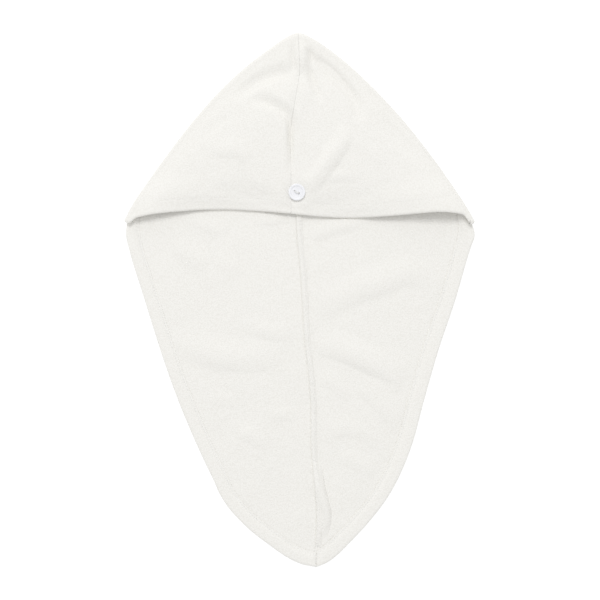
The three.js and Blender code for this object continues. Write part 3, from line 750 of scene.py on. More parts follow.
    def fullness(self, u: np.ndarray, v: np.ndarray) -> np.ndarray:
        """The flap's fullness above its edges.

        Args:
            u: Shares from the seam to the hem.
            v: Shares from the upper fold to the flap's edge.

        Returns:
            Shares of the flap's lift.
        """
        rows = [row.row for row in FULLNESS]
        pair = [row.left if self.side is Side.LEFT else row.right for row in FULLNESS]
        at_seam = read_table(rows, [row.seam for row in FULLNESS], v)
        middle = read_table(rows, [m for m, _ in pair], v)
        edge = read_table(rows, [e for _, e in pair], v)
        return at_seam * (1 - u) * (1 - 2 * u) + middle * 4 * u * (1 - u) + edge * u * (2 * u - 1)

    def flap_point(self, u: np.ndarray, v: np.ndarray) -> np.ndarray:
        """Points of the hood's flap, which never comes lower than where it rests on the back layer.

        Args:
            u: Shares from the seam to the hem.
            v: Shares from the upper fold to the flap's edge.

        Returns:
            Points in millimetres, one a row.
        """
        s = self.sizes
        y = self.fold_start[1] + (self.nape[1] - self.fold_start[1]) * v
        seam = np.stack([s.half_width * read_table(*zip(*FLAP_SEAM), v), y], axis=-1)
        edge = self.mouth_edge.at(v)
        plan = seam + (edge - seam) * u[:, None] + self.fold_bow(u) * (1 - v)[:, None]
        turned = 2 * self.fold_radius(u)
        rise = turned + (s.nape_rise - turned) * smoothstep(v, 0, 1)
        below_fold = np.linalg.norm(plan - self.fold_base(u), axis=1)
        held = smoothstep(below_fold, *self.fold_clear)
        held = held * smoothstep(np.linalg.norm(plan - edge, axis=1), *self.mouth_clear)
        gap = np.linalg.norm(plan - self.button, axis=1)
        ring = self.ring_height * smoothstep(gap, *self.ring_inside)
        ring = ring * (1 - smoothstep(gap, *self.ring_outside))
        uneven = self.folds(plan, HOOD_RUCKS) + self.unevenness(plan, self.flap_shift)
        lie = uneven * smoothstep(gap, *self.button_clear) + ring
        tighter = 1 + self.flap_roll * smoothstep(v, *self.flap_roll_ramp)
        roll = self.seam_roll(plan[:, 0] - seam[:, 0]) * tighter
        sag = self.sag(plan) * smoothstep(below_fold, *self.sag_clear)
        z = s.cloth / 2 + rise + s.flap_lift * self.fullness(u, v) + lie * held - roll - sag
        resting = 1.5 * s.cloth + self.rest_air
        z = resting + soft_floor(z - resting, self.rest_ease)
        return np.concatenate([plan, z[:, None]], axis=1)

    def point(self, u: np.ndarray, v: np.ndarray) -> np.ndarray:
        """Points of the half.

        Args:
            u: Shares from the seam to the hem.
            v: Places along the towel, 0 to 3.

        Returns:
            Points in millimetres, in a last axis of three.
        """
        u, v = (np.asarray(a, dtype=float) for a in np.broadcast_arrays(u, v))
        flat_u, flat_v = u.ravel(), v.ravel()
        layer = np.clip(np.ceil(flat_v) - 1, 0, 2)
        out = np.empty((flat_u.size, 3))
        for number, make in enumerate((self.back_point, self.arch_point, self.flap_point)):
            pick = layer == number
            if pick.any():
                out[pick] = make(flat_u[pick], flat_v[pick] - number)
        away = smoothstep(np.minimum(flat_v, 3 - flat_v), 0, self.drawn_reach)
        out[:, 0] += self.sign * self.drawn_gap / 2 * (1 - flat_u * away)
        return out.reshape(*u.shape, 3)

    def inside(self, u: np.ndarray, v: np.ndarray) -> np.ndarray:
        """The unit directions out of the cloth to the inside of the towel.

        Args:
            u: Shares from the seam to the hem.
            v: Places along the towel, 0 to 3.

        Returns:
            Directions, in a last axis of three.
        """
        step = 1e-3
        u, v = (np.asarray(a, dtype=float) for a in np.broadcast_arrays(u, v))
        row = np.clip(v, 4 * step, 3 - 4 * step)
        across = self.point(np.minimum(u + step, 1), row) - self.point(np.maximum(u - step, 0), row)
        along = self.point(u, row + step) - self.point(u, row - step)
        out = np.cross(across, along) * self.sign
        out[..., 0] = np.where((u == 0) | (v == 0) | (v == 3), 0, out[..., 0])
        return out / np.linalg.norm(out, axis=-1, keepdims=True)

    def row_length(self, v: np.ndarray) -> np.ndarray:
        """Length of rows, measured by their stretch beside the seam."""
        stretch = 0.1
        return np.linalg.norm(self.point(stretch, v) - self.point(0.0, v), axis=-1) / stretch


@dataclass
class TerryHalf:
    """One half of the towel in cloth: back layer, upper fold, flap and the turned hem.

    Places in the hem's band are shares of its width: 1 at its sewn edge and 0 at the turned edge.
    """

    side: Side
    surface: HalfSurface
    sizes: TowelSizes
    divisions: Divisions = field(default_factory=Divisions)
    nap: float = 0.2
    nap_cell: float = 3.6
    nap_apart: float = 5.0
    hem_wall: float = 0.8
    hem_lift: float = 2.2
    edge_lift: float = 1.05
    edge_wall: float = 0.15
    eased_from: float = 0.45
    press_ramp: tuple[float, float] = (0.95, 1.1)
    layer_gap: float = 0.05
    stitch_place: float = 0.835
    stitch_depth: float = 0.25
    stitch_width: float = 0.05
    mark_depth: float = 0.15
    mark_width: float = 0.07
    groove_place: float = 3.4
    groove_width: float = 0.8
    groove_depth: float = 0.55
    floor_sink: float = 0.05
    margin_rounds: int = 24
    column_growth: float = 1.25

    def rows(self) -> np.ndarray:
        """The places of the rows, wider apart where the flap covers the back."""
        d = self.divisions
        return np.concatenate([
            np.linspace(0, d.covered_from, d.tail, endpoint=False),
            np.linspace(d.covered_from, 1, d.covered, endpoint=False),
            1 + np.arange(d.arch) / d.arch,
            2 + np.arange(d.flap + 1) / d.flap,
        ])

    def columns(self, v: np.ndarray, margin: np.ndarray) -> np.ndarray:
        """Shares across the panel: close together beside the seam, then wider, then the band's places.

        Args:
            v: The places of the rows.
            margin: Where the band starts in each row.

        Returns:
            Shares u, one row of the towel each.
        """
        d = self.divisions
        margin = margin[:, None]
        length = np.maximum(self.surface.row_length(v), 1e-6)[:, None]
        close = np.minimum(d.beside_width / length, 0.25 * margin)
        beside = close * np.arange(d.beside_seam) / d.beside_seam
        wide = close + (margin - close) * np.linspace(0, 1, d.columns) ** self.column_growth
        band = 1 - np.array(BAND)[None, 1:] * (1 - margin)
        return np.concatenate([beside, wide, band], axis=1)

    def hem_run(self, v: np.ndarray) -> tuple[np.ndarray, np.ndarray]:
        """The hem's direction at each row, and where its band ends across the row.

        Args:
            v: The places of the rows.

        Returns:
            Unit directions along the hem, and the share u at which the band starts.
        """
        edge = self.surface.point(1.0, v)
        step = np.diff(edge, axis=0)
        step /= np.maximum(np.linalg.norm(step, axis=1, keepdims=True), 1e-9)
        run = np.tile([1.0, 0.0, 0.0], (len(v), 1))
        run[1:-1] = step[1:] + step[:-1]
        run /= np.linalg.norm(run, axis=1, keepdims=True)
        outward = (edge - self.surface.point(0.98, v)) / 0.02
        clear = np.maximum(np.linalg.norm(np.cross(outward, run), axis=1), 1e-6)
        margin = np.maximum(0, 1 - self.sizes.hem_width / clear)
        margin[[0, -1]] = 0
        for _ in range(self.margin_rounds):
            smooth = margin.copy()
            smooth[1:-1] = (margin[:-2] + 2 * margin[1:-1] + margin[2:]) / 4
            margin = np.where(margin == 0, 0, smooth)
        return run, margin

    def grid(self) -> ClothGrid:
        """Lays the cloth from the seam to the hem, round its turn and back along the band."""
        surface = self.surface
        v = self.rows()
        run, margin = self.hem_run(v)
        u = self.columns(v, margin)
        rows = np.repeat(v[:, None], u.shape[1], axis=1)
        point, inside = surface.point(u, rows), surface.inside(u, rows)
        turn_point, turn_inside = self.turn(point, inside, run)
        back = slice(None, -len(BAND) - 1, -1)
        lift = self.band_lift(np.array(BAND[::-1]))
        band_point = point[:, back] + inside[:, back] * lift[None, :, None]
        beside = np.linalg.norm(point - point[:, :1], axis=2) + 100 * (rows > 1)
        inner, outer = self.walls(u, margin, beside)
        return ClothGrid(
            np.concatenate([point, turn_point, band_point], axis=1),
            np.concatenate([inside, turn_inside, -inside[:, back]], axis=1),
            inner,
            outer,
        )

    def turn(self, point: np.ndarray, inside: np.ndarray, run: np.ndarray) -> tuple[np.ndarray, np.ndarray]:
        """Lays the turn of the hem, an oval as wide as the solid's and as high as the band's lift.

        Args:
            point: The panel's points.
            inside: Their inside directions.
            run: The hem's direction in each row.

        Returns:
            The turn's points and inside directions.
        """
        edge, up = point[:, -1], inside[:, -1]
        outward = np.cross(run, up)
        outward /= np.linalg.norm(outward, axis=1, keepdims=True)
        wrong = np.sum(outward * (edge - point[:, -2]), axis=1) < 0
        outward[wrong] *= -1
        outward[[0, -1]] = [0, -1, 0]
        angle = math.pi * np.arange(1, self.divisions.turn) / self.divisions.turn
        rising, reaching = np.cos(angle)[None, :, None], np.sin(angle)[None, :, None]
        high, wide = self.hem_lift / 2, self.sizes.hem_radius
        centre = (edge + up * high)[:, None]
        around = centre - up[:, None] * rising * high + outward[:, None] * reaching * wide
        return around, up[:, None] * rising - outward[:, None] * reaching

    def band_lift(self, place: np.ndarray) -> np.ndarray:
        """How far the band's middle stands off the panel's: less towards its sewn edge."""
        return self.hem_lift - (self.hem_lift - self.edge_lift) * smoothstep(place, self.eased_from, 1.0)

    def band_wall(self, place: np.ndarray) -> np.ndarray:
        """The band's wall on the face that shows: thinner towards its sewn edge and at the stitches."""
        eased = self.hem_wall - (self.hem_wall - self.edge_wall) * smoothstep(place, self.eased_from, 1.0)
        return eased - self.stitch_depth * bell(place, self.stitch_place, self.stitch_width)

    def walls(self, u: np.ndarray, margin: np.ndarray, beside: np.ndarray) -> tuple[np.ndarray, np.ndarray]:
        """The wall on either side of the cloth's middle, pressed thinner in the hem.

        Args:
            u: The panel's shares, one row of the towel each.
            margin: Where the band starts in each row.
            beside: How far each point of the tail lies from the seam.

        Returns:
            The wall on the inside and on the outside.
        """
        half, rows, turn = self.sizes.cloth / 2, len(margin), self.divisions.turn - 1
        place = np.array(BAND[::-1])
        depth = np.clip((1 - u) / np.maximum(1 - margin[:, None], 1e-6), 0, 2)
        pressed = (half - self.hem_wall) * (1 - smoothstep(depth, *self.press_ramp))
        groove = self.groove_depth * bell(beside, self.groove_place, self.groove_width)
        band_in = np.minimum(self.hem_wall, self.band_lift(place) - self.hem_wall - self.layer_gap)
        turn_out = np.linspace(half, self.hem_wall, turn + 2)[1:-1]
        inner = [half - pressed - groove, np.full((rows, turn), self.hem_wall), np.tile(band_in, (rows, 1))]
        outer = [
            half - self.mark_depth * bell(depth, self.stitch_place, self.mark_width),
            np.tile(turn_out, (rows, 1)),
            np.tile(self.band_wall(place), (rows, 1)),
        ]
        return np.concatenate(inner, axis=1), np.concatenate(outer, axis=1)

    def build(self, shift: np.ndarray, noise: CoarseNoise) -> bpy.types.Object:
        """Makes the half as one closed mesh of cloth with its nap.

        Args:
            shift: The move from the plan's origin to the towel's.
            noise: The unevenness of the nap.

        Returns:
            The finished piece.
        """
        name = "left_terry" if self.side is Side.LEFT else "right_terry"
        faces, middle, inside, inner, outer = self.weld(self.grid())
        full = self.sizes.cloth / 2
        top_nap = self.nap_height(middle + inside * self.nap_apart, noise)
        low_nap = self.nap_height(middle - inside * self.nap_apart, noise)
        top = middle + inside * (inner + inner / full * top_nap)[:, None]
        low = middle - inside * (outer + outer / full * low_nap)[:, None]
        low[:, 2] = np.maximum(low[:, 2], -self.floor_sink)
        count = len(middle)
        solid = [*faces, *[tuple(count + i for i in face[::-1]) for face in faces]]
        cut = [(b, a, count + a, count + b) for a, b in self.open_edges(faces)]
        return make_piece(name, np.vstack([top, low]) + shift, solid, cut)

    def nap_height(self, points: np.ndarray, noise: CoarseNoise) -> np.ndarray:
        """Small clumps of the terry's loops."""
        return self.nap * sum(
            share * noise.at(points + shift, self.nap_cell * cell) for share, cell, shift in NAP_CLUMPS
        )

    def weld(self, grid: ClothGrid) -> tuple[Faces, np.ndarray, np.ndarray, np.ndarray, np.ndarray]:
        """Joins points that fall together and lists the faces, seen from the inside.

        Args:
            grid: The laid cloth.

        Returns:
            Faces, points, inside directions and the two walls.
        """
        flat = grid.point.reshape(-1, 3)
        keys = np.round(flat / 1e-3).astype(np.int64)
        _, first, number = np.unique(keys, axis=0, return_index=True, return_inverse=True)
        index = number.reshape(grid.point.shape[:2])
        a, b = index[:-1, :-1].ravel(), index[:-1, 1:].ravel()
        c, d = index[1:, 1:].ravel(), index[1:, :-1].ravel()
        quads = np.stack([a, b, c, d] if self.side is Side.RIGHT else [a, d, c, b], axis=1)
        faces = [face for face in (tuple(dict.fromkeys(quad)) for quad in quads.tolist()) if len(face) > 2]
        inside = grid.inside.reshape(-1, 3)[first]
        return faces, flat[first], inside, grid.inner.ravel()[first], grid.outer.ravel()[first]

    @staticmethod
    def open_edges(faces: Faces) -> list[tuple[int, int]]:
        """The directed edges that only one face has."""
        edges = {(f[i], f[(i + 1) % len(f)]) for f in faces for i in range(len(f))}
        return [(a, b) for a, b in edges if (b, a) not in edges]


def make_piece(name: str, points: np.ndarray, faces: Sequence[Sequence[int]],
               flat: Sequence[Sequence[int]] = ()) -> bpy.types.Object:
    """Makes a smooth-shaded piece from points in millimetres.

    Args:
        name: The piece's name.
        points: Its points, one a row.
        faces: Its faces, each turned outwards.
        flat: More faces, which meet the others in a crisp edge.

    Returns:
        The new object, at the origin.
    """
    mesh = bpy.data.meshes.new(name)
    mesh.from_pydata((np.asarray(points) * MM).tolist(), [], [tuple(face) for face in (*faces, *flat)])
    mesh.validate()
    mesh.polygons.foreach_set("use_smooth", np.arange(len(mesh.polygons)) < len(faces))
    mesh.update()
    piece = bpy.data.objects.new(name, mesh)
    bpy.context.scene.collection.objects.link(piece)
    return piece


def skin(rings: int, size: int, turned: bool = False) -> Faces:
    """Faces over rings of points that follow each other, closed at both ends.

    Args:
        rings: How many rings there are.
        size: How many points each ring has.
        turned: Whether the rings run the other way round.

    Returns:
        The faces, turned outwards.
    """
    faces: Faces = []
    for start in range(0, (rings - 1) * size, size):
        for i in range(size):
            n = (i + 1) % size
            a, b, c, d = start + i, start + size + i, start + size + n, start + n
            faces.append((a, d, c, b) if turned else (a, b, c, d))
    last = (rings - 1) * size
    for end in (tuple(range(size)), tuple(range(last + size - 1, last - 1, -1))):
        faces.append(end[::-1] if turned else end)
    return faces


def tube(route: np.ndarray, radius: float, sides: int) -> tuple[np.ndarray, Faces]:
    """A closed tube along a route.

    Args:
        route: Points in millimetres.
        radius: The tube's radius.
        sides: How many faces run round it.

    Returns:
        The tube's points and faces.
    """
    p = np.asarray(route, dtype=float)
    run = np.gradient(p, axis=0)
    run /= np.linalg.norm(run, axis=1, keepdims=True)
    up = np.array([0.0, 0.0, 1.0]) - run * run[:, 2:3]
    weak = np.linalg.norm(up, axis=1) < 0.2
    up[weak] = np.array([1.0, 0.0, 0.0]) - run[weak] * run[weak, 0:1]
    up /= np.linalg.norm(up, axis=1, keepdims=True)
    for i in range(1, len(up)):
        if up[i] @ up[i - 1] < 0:
            up[i] *= -1
    side = np.cross(run, up)
    angle = 2 * math.pi * np.arange(sides) / sides
    ring = up[:, None] * np.cos(angle)[None, :, None] + side[:, None] * np.sin(angle)[None, :, None]
    return (p[:, None] + radius * ring).reshape(-1, 3), skin(len(p), sides)


# The allowance's cross-section as (across, up), shares of its width and height: it leans to the left
SEAM_TOP = ((-0.51, 0.22), (-0.47, 0.46), (-0.37, 0.64), (-0.22, 0.74), (-0.06, 0.75), (0.12, 0.68),
            (0.3, 0.55), (0.5, 0.37), (0.7, 0.16), (0.94, -0.14))
SEAM_PROFILE = ((0.0, -0.3), (-0.36, -0.3), (-0.48, 0.0), *SEAM_TOP, (0.7, -0.3))


@dataclass
class CentreSeam:
    """The seam allowance, overlocked along its cut edges and laid flat on the inside."""

    left: HalfSurface
    right: HalfSurface
    sizes: TowelSizes
    start: float
    stop: float
    pitch: float = 3.6
    thread: float = 0.24
    thread_middle: float = 0.02
    thread_swing: float = 0.4
    sunk: float = 0.1
    ring_step: float = 0.65
    rib: float = 0.03
    rib_slant: float = 0.8
    ribbed_above: float = 0.2
    taper_ramp: tuple[float, float] = (-2.0, 8.0)
    samples: int = 2400

    def stations(self, step: float) -> tuple[np.ndarray, np.ndarray]:
        """Lays places along the seam.

        Args:
            step: The distance between them.

        Returns:
            The places v, and how far along the seam each one lies.
        """
        v = np.linspace(self.start, self.stop, self.samples)
        line = Line(self.right.point(0.0, v))
        shares = np.linspace(0, 1, max(int(line.length / step), 4))
        places = np.interp(shares, line.along / line.length, v)
        return places, Line(self.right.point(0.0, places)).along

    def on_section(self, v: np.ndarray, across: np.ndarray, up: np.ndarray) -> np.ndarray:
        """Points of the allowance.

        Args:
            v: Places along the seam.
            across: Shares of the allowance's width, negative to the left.
            up: Shares of its height.

        Returns:
            Points in millimetres.
        """
        v, across, up = np.broadcast_arrays(v, across, up)
        s = self.sizes
        out = np.empty((*v.shape, 3))
        for pick, half in ((across < 0, self.left), (across >= 0, self.right)):
            if not pick.any():
                continue
            u = np.abs(across[pick]) * s.seam_width / half.row_length(v[pick])
            direction = half.inside(np.maximum(u, 1e-4), v[pick])
            off = s.cloth / 2 - self.sunk + up[pick] * s.seam_height
            out[pick] = half.point(u, v[pick]) + direction * off[:, None]
        return out

    def taper(self, along: np.ndarray) -> np.ndarray:
        """How the allowance flattens towards its two ends, from places in millimetres along it."""
        return smoothstep(np.minimum(along, along[-1] - along), *self.taper_ramp)

    def build_allowance(self, shift: np.ndarray) -> bpy.types.Object:
        """Makes the allowance with the ribs that its overlocking presses in.

        Args:
            shift: The move from the plan's origin to the towel's.

        Returns:
            The finished piece.
        """
        v, along = self.stations(self.ring_step)
        across, up = (np.tile(column, (len(v), 1)) for column in np.array(SEAM_PROFILE).T)
        rib = np.cos(2 * math.pi * (along[:, None] / self.pitch + self.rib_slant * np.abs(across)))
        sway = 0.035 * np.sin(along / 31.0) + 0.02 * np.sin(along / 11.0 + 1.0)
        raised = (up + self.rib * rib) * self.taper(along)[:, None]
        up = np.where(up > self.ribbed_above, raised, up)
        points = self.on_section(v[:, None], across + sway[:, None] * (up > self.ribbed_above), up)
        faces = skin(*points.shape[:2], turned=True)
        return make_piece("seam_allowance", points.reshape(-1, 3) + shift, faces)

    def build_overlock(self, shift: np.ndarray) -> bpy.types.Object:
        """Makes the overlocking thread that zigzags over the allowance.

        Args:
            shift: The move from the plan's origin to the towel's.

        Returns:
            The finished piece.
        """
        v, along = self.stations(self.pitch / 8)
        phase = along / self.pitch
        swing = 2 * np.abs(2 * (phase - np.floor(phase + 0.5))) - 1
        across = self.thread_middle + self.thread_swing * np.sin(swing * math.pi / 2)
        up = np.interp(across, *np.array(SEAM_TOP).T) * self.taper(along)
        points, faces = tube(self.on_section(v, across, up), self.thread, 5)
        return make_piece("overlock_thread", points + shift, faces)


@dataclass
class HemStitches:
    """The row of stitches that holds the hem's band, on the face that shows."""

    half: TerryHalf
    pitch: float = 3.4
    length: float = 2.3
    width: float = 0.6
    proud: float = 0.05
    start: float = 0.004
    stop: float = 0.985
    samples: int = 2600

    def build(self, shift: np.ndarray) -> bpy.types.Object:
        """Makes each stitch as a small lozenge of thread in the pressed line of the hem.

        Args:
            shift: The move from the plan's origin to the towel's.

        Returns:
            The finished piece.
        """
        surface = self.half.surface
        v = np.linspace(self.start, self.stop, self.samples)
        _, margin = self.half.hem_run(v)
        place = np.array([self.half.stitch_place])
        u = 1 - place[0] * (1 - margin)
        point, inside = surface.point(u, v), surface.inside(u, v)
        lift = float(self.half.band_lift(place)[0] + self.half.band_wall(place)[0])
        line = Line(point + inside * (lift + self.proud))
        count = int(line.length / self.pitch)
        centres = (np.arange(count) + 0.5) * self.pitch / line.length
        middle, along = line.at(centres), line.tangent(centres)
        shares = line.along / line.length
        up = np.stack([np.interp(centres, shares, inside[:, i]) for i in range(3)], axis=1)
        up /= np.linalg.norm(up, axis=1, keepdims=True)
        side = np.cross(up, along)
        shape, faces = self.one_stitch()
        points, solid = [], []
        for i in range(count):
            points.append(middle[i] + shape @ np.stack([along[i], side[i], up[i]]))
            solid += [tuple(k + i * len(shape) for k in face) for face in faces]
        name = "left_hem_stitches" if self.half.side is Side.LEFT else "right_hem_stitches"
        return make_piece(name, np.vstack(points) + shift, solid)

    def one_stitch(self) -> tuple[np.ndarray, Faces]:
        """One stitch along X: a short thread that dips into the cloth at both ends."""
        x = np.array([-0.5, -0.34, 0.0, 0.34, 0.5]) * self.length
        z = np.array([-0.45, 0.0, 0.1, 0.0, -0.45])
        return tube(np.stack([x, np.zeros(5), z], axis=1), self.width / 2, 6)


@dataclass
class SewnButton:
    """The button and its thread, seated where the towel's solids have them."""

    diameter: float = 20.0
    thickness: float = 3.0
    rim: float = 2.4
    rim_slope: float = 0.7
    rounding: float = 0.55
    dish: float = 0.9
    dish_inset: float = 3.0
    dish_fall: float = 0.12
    hole: float = 2.0
    hole_spacing: float = 5.6
    thread: float = 1.3
    strands: int = 4
    strand_radius: float = 0.3
    strand_turns: float = 2.2
    strand_lay: float = 0.26

    def seat(self) -> Matrix:
        """The button's place and turn, read from its solid and from its thread's."""
        disc = node_points("button")
        _, _, axes = np.linalg.svd(disc - disc.mean(axis=0), full_matrices=False)
        up = axes[2] * np.sign(axes[2][2])
        thread = node_points("button_thread")
        _, _, lines = np.linalg.svd(thread - thread.mean(axis=0), full_matrices=False)
        across = lines[0] - up * (lines[0] @ up)
        across *= np.sign(across[0]) / np.linalg.norm(across)
        side = np.cross(up, across)
        middle = np.array([(disc @ axis).max() + (disc @ axis).min() for axis in (across, side)]) / 2
        centre = across * middle[0] + side * middle[1] + up * (disc @ up).min()
        return Matrix([[across[i], side[i], up[i], centre[i]] for i in range(3)] + [[0, 0, 0, 1]])

    def build_button(self) -> bpy.types.Object:
        """Models the button by hand: a disc, its rim, its dished middle and two holes."""
        radius, high = self.diameter / 2 * MM, self.thickness * MM
        deselect()
        bpy.ops.mesh.primitive_cylinder_add(vertices=96, radius=radius, depth=high, location=(0, 0, high / 2))
        piece = bpy.context.object
        piece.name = piece.data.name = "sewn_button"
        bpy.ops.object.mode_set(mode="EDIT")
        select_faces(piece, lambda face: face.normal.z > 0.9)
        bpy.ops.mesh.inset(thickness=self.rim * MM, depth=0)
        bpy.ops.mesh.inset(thickness=self.rim_slope * MM, depth=-self.dish * MM)
        bpy.ops.mesh.inset(thickness=self.dish_inset * MM, depth=-self.dish_fall * MM)
        bpy.ops.object.mode_set(mode="OBJECT")
        bevel = piece.modifiers.new("rounded_rim", "BEVEL")
        bevel.width, bevel.segments, bevel.limit_method = self.rounding * MM, 4, "ANGLE"
        bevel.angle_limit = math.radians(28)
        apply_modifier(piece, bevel)
        for side in (-1, 1):
            self.cut_hole(piece, side * self.hole_spacing / 2 * MM)
        settle(piece, self.seat())
        select_only(piece)
        bpy.ops.object.shade_smooth_by_angle(angle=math.radians(40))
        return piece

    def cut_hole(self, piece: bpy.types.Object, x: float) -> None:
        """Cuts one thread hole.

        Args:
            piece: The button.
            x: The hole's place across it, in metres.
        """
        deselect()
        radius, depth = self.hole / 2 * MM, 4 * self.thickness * MM
        bpy.ops.mesh.primitive_cylinder_add(vertices=32, radius=radius, depth=depth, location=(x, 0, 0))
        drill = bpy.context.object
        cut = piece.modifiers.new("hole", "BOOLEAN")
        cut.operation, cut.object, cut.solver = "DIFFERENCE", drill, "EXACT"
        apply_modifier(piece, cut)
        bpy.data.objects.remove(drill, do_unlink=True)

    def build_thread(self) -> bpy.types.Object:
        """Models the thread as a bundle of strands through both holes."""
        reach = self.hole_spacing / 2
        top = self.thickness - self.dish + 0.3 + self.thread / 2
        knots = np.array([
            (-reach, 0.1), (-reach, top - self.thread), (-reach + self.thread / 3, top - self.thread / 6),
            (-reach + self.thread, top), (0.0, top + 0.08), (reach - self.thread, top),
            (reach - self.thread / 3, top - self.thread / 6), (reach, top - self.thread), (reach, 0.1),
        ])
        standing = np.stack([knots[:, 0], np.zeros(len(knots)), knots[:, 1]], axis=1)
        share = np.linspace(0, 1, 90)
        route = Line(round_curve(standing, False, 8)).at(share)
        points, faces = [], []
        for strand in range(self.strands):
            angle = 2 * math.pi * (strand / self.strands + self.strand_turns * share)
            lay = self.strand_lay * self.thread
            offset = np.stack([np.sin(angle) * lay * 0.4, np.cos(angle) * lay, np.sin(angle) * lay], axis=1)
            ring, cover = tube(route + offset, self.strand_radius, 8)
            points.append(ring)
            faces += [tuple(k + strand * len(ring) for k in face) for face in cover]
        piece = make_piece("button_strands", np.vstack(points), faces)
        settle(piece, self.seat())
        return piece


# Blender helpers


def deselect() -> None:
    """Deselects everything."""
    for obj in bpy.context.view_layer.objects.selected[:]:
        obj.select_set(False)


def select_only(piece: bpy.types.Object) -> None:
    """Makes a piece the only selected and the active one."""
    deselect()
    piece.select_set(True)
    bpy.context.view_layer.objects.active = piece


def select_faces(piece: bpy.types.Object, wanted: Callable[[bmesh.types.BMFace], bool]) -> None:
    """Selects in edit mode just the faces that a test wants."""
    bpy.ops.mesh.select_mode(type="FACE")
    mesh = bmesh.from_edit_mesh(piece.data)
    for face in mesh.faces:
        face.select_set(wanted(face))
    bmesh.update_edit_mesh(piece.data)


def apply_modifier(piece: bpy.types.Object, modifier: bpy.types.Modifier) -> None:
    """Applies one modifier to its piece."""
    select_only(piece)
    bpy.ops.object.modifier_apply(modifier=modifier.name)


def settle(piece: bpy.types.Object, place: Matrix) -> None:
    """Moves a piece's mesh to its place and leaves the object at the origin."""
    piece.data.transform(place)
    piece.matrix_world = Matrix.Identity(4)
    piece.data.update()


def node_points(node: str) -> np.ndarray:
    """The vertices of a solid, in metres."""
    mesh = frame["nodes"][node].data
    out = np.empty(len(mesh.vertices) * 3)
    mesh.vertices.foreach_get("co", out)
    return out.reshape(-1, 3)


# Finishes


class NodeBoard:
    """The nodes of one material, with short calls to add and join them."""

    def __init__(self, name: str) -> None:
        """Starts a material with its surface shader and object coordinates."""
        self.material = bpy.data.materials.new(name)
        self.material.use_nodes = True
        self.tree = self.material.node_tree
        self.shader = next(n for n in self.tree.nodes if n.type == "BSDF_PRINCIPLED")
        self.place = self.add("ShaderNodeTexCoord").outputs["Object"]

    def add(self, kind: str, **values: float | tuple | str) -> bpy.types.Node:
        """Adds a node and sets its properties or its named inputs."""
        node = self.tree.nodes.new(kind)
        for key, value in values.items():
            if key in node.inputs:
                node.inputs[key].default_value = value
            else:
                setattr(node, key, value)
        return node

    def join(self, out: bpy.types.NodeSocket, into: bpy.types.NodeSocket) -> None:
        """Joins an output to an input."""
        self.tree.links.new(out, into)

    def feed(self, out: bpy.types.NodeSocket, name: str) -> None:
        """Joins an output to a named input of the surface shader."""
        self.join(out, self.shader.inputs[name])

    def settings(self, values: dict[str, float | tuple]) -> None:
        """Sets named inputs of the surface shader."""
        for name, value in values.items():
            self.shader.inputs[name].default_value = value

    def noise(self, scale: float, detail: float = 2.0, roughness: float = 0.5) -> bpy.types.NodeSocket:
        """Noise on the piece's own coordinates."""
        node = self.add("ShaderNodeTexNoise", Scale=scale, Detail=detail, Roughness=roughness)
        self.join(self.place, node.inputs["Vector"])
        return node.outputs["Fac"]

    def bump(self, height: bpy.types.NodeSocket, strength: float, distance: float,
             onto: bpy.types.NodeSocket | None = None) -> bpy.types.NodeSocket:
        """A bump of a height in metres, on top of another."""
        node = self.add("ShaderNodeBump", Strength=strength, Distance=distance)
        self.join(height, node.inputs["Height"])
        if onto is not None:
            self.join(onto, node.inputs["Normal"])
        return node.outputs["Normal"]

    def blend(self, share: bpy.types.NodeSocket, low: tuple[float, float, float],
              high: tuple[float, float, float], start: float, stop: float) -> bpy.types.NodeSocket:
        """Two colours blended by a value between start and stop."""
        ramp = self.add("ShaderNodeValToRGB")
        ramp.color_ramp.elements[0].position, ramp.color_ramp.elements[0].color = start, (*low, 1)
        ramp.color_ramp.elements[1].position, ramp.color_ramp.elements[1].color = stop, (*high, 1)
        self.join(share, ramp.inputs["Fac"])
        return ramp.outputs["Color"]


@dataclass(frozen=True)
class TerryFinish:
    """Off-white terry: small loops with painted shade between them, clumps of nap and a soft sheen."""

    name: str = "terry_cloth"
    light: tuple[float, float, float] = (0.872, 0.861, 0.828)
    # Painted shade: the colour in the hollows between the loops
    painted_shade_between_loops: tuple[float, float, float] = (0.83, 0.816, 0.778)
    loop: float = 0.0019
    loop_height: float = 0.0006
    clump: float = 0.0052
    clump_height: float = 0.0004
    sheen: float = 0.25

    def make(self) -> bpy.types.Material:
        """Builds the material."""
        board = NodeBoard(self.name)
        warp = board.add("ShaderNodeTexNoise", Scale=1 / (self.loop * 2.2), Detail=2.0)
        board.join(board.place, warp.inputs["Vector"])
        push = board.add("ShaderNodeVectorMath", operation="MULTIPLY_ADD")
        board.join(warp.outputs["Color"], push.inputs[0])
        push.inputs[1].default_value = (self.loop * 1.1,) * 3
        board.join(board.place, push.inputs[2])
        loops = board.add("ShaderNodeTexVoronoi", Scale=1 / self.loop)
        board.join(push.outputs["Vector"], loops.inputs["Vector"])
        dome = board.add("ShaderNodeMath", operation="SUBTRACT")
        dome.inputs[0].default_value = 1.0
        board.join(loops.outputs["Distance"], dome.inputs[1])
        clump = board.noise(1 / self.clump, 3.0, 0.6)
        normal = board.bump(clump, 0.5, self.clump_height)
        normal = board.bump(dome.outputs["Value"], 0.5, self.loop_height, normal)
        board.feed(normal, "Normal")
        # Base colour: painted shade, darker between the loops and lighter on their tops, following the loops'
        # bump height
        board.feed(board.blend(dome.outputs["Value"], self.painted_shade_between_loops, self.light, 0.25, 0.72), "Base Color")
        board.settings({
            "Roughness": 0.97, "Specular IOR Level": 0.12, "Sheen Weight": self.sheen,
            "Sheen Roughness": 0.6, "Sheen Tint": (1.0, 0.99, 0.97, 1.0),
        })
        return board.material


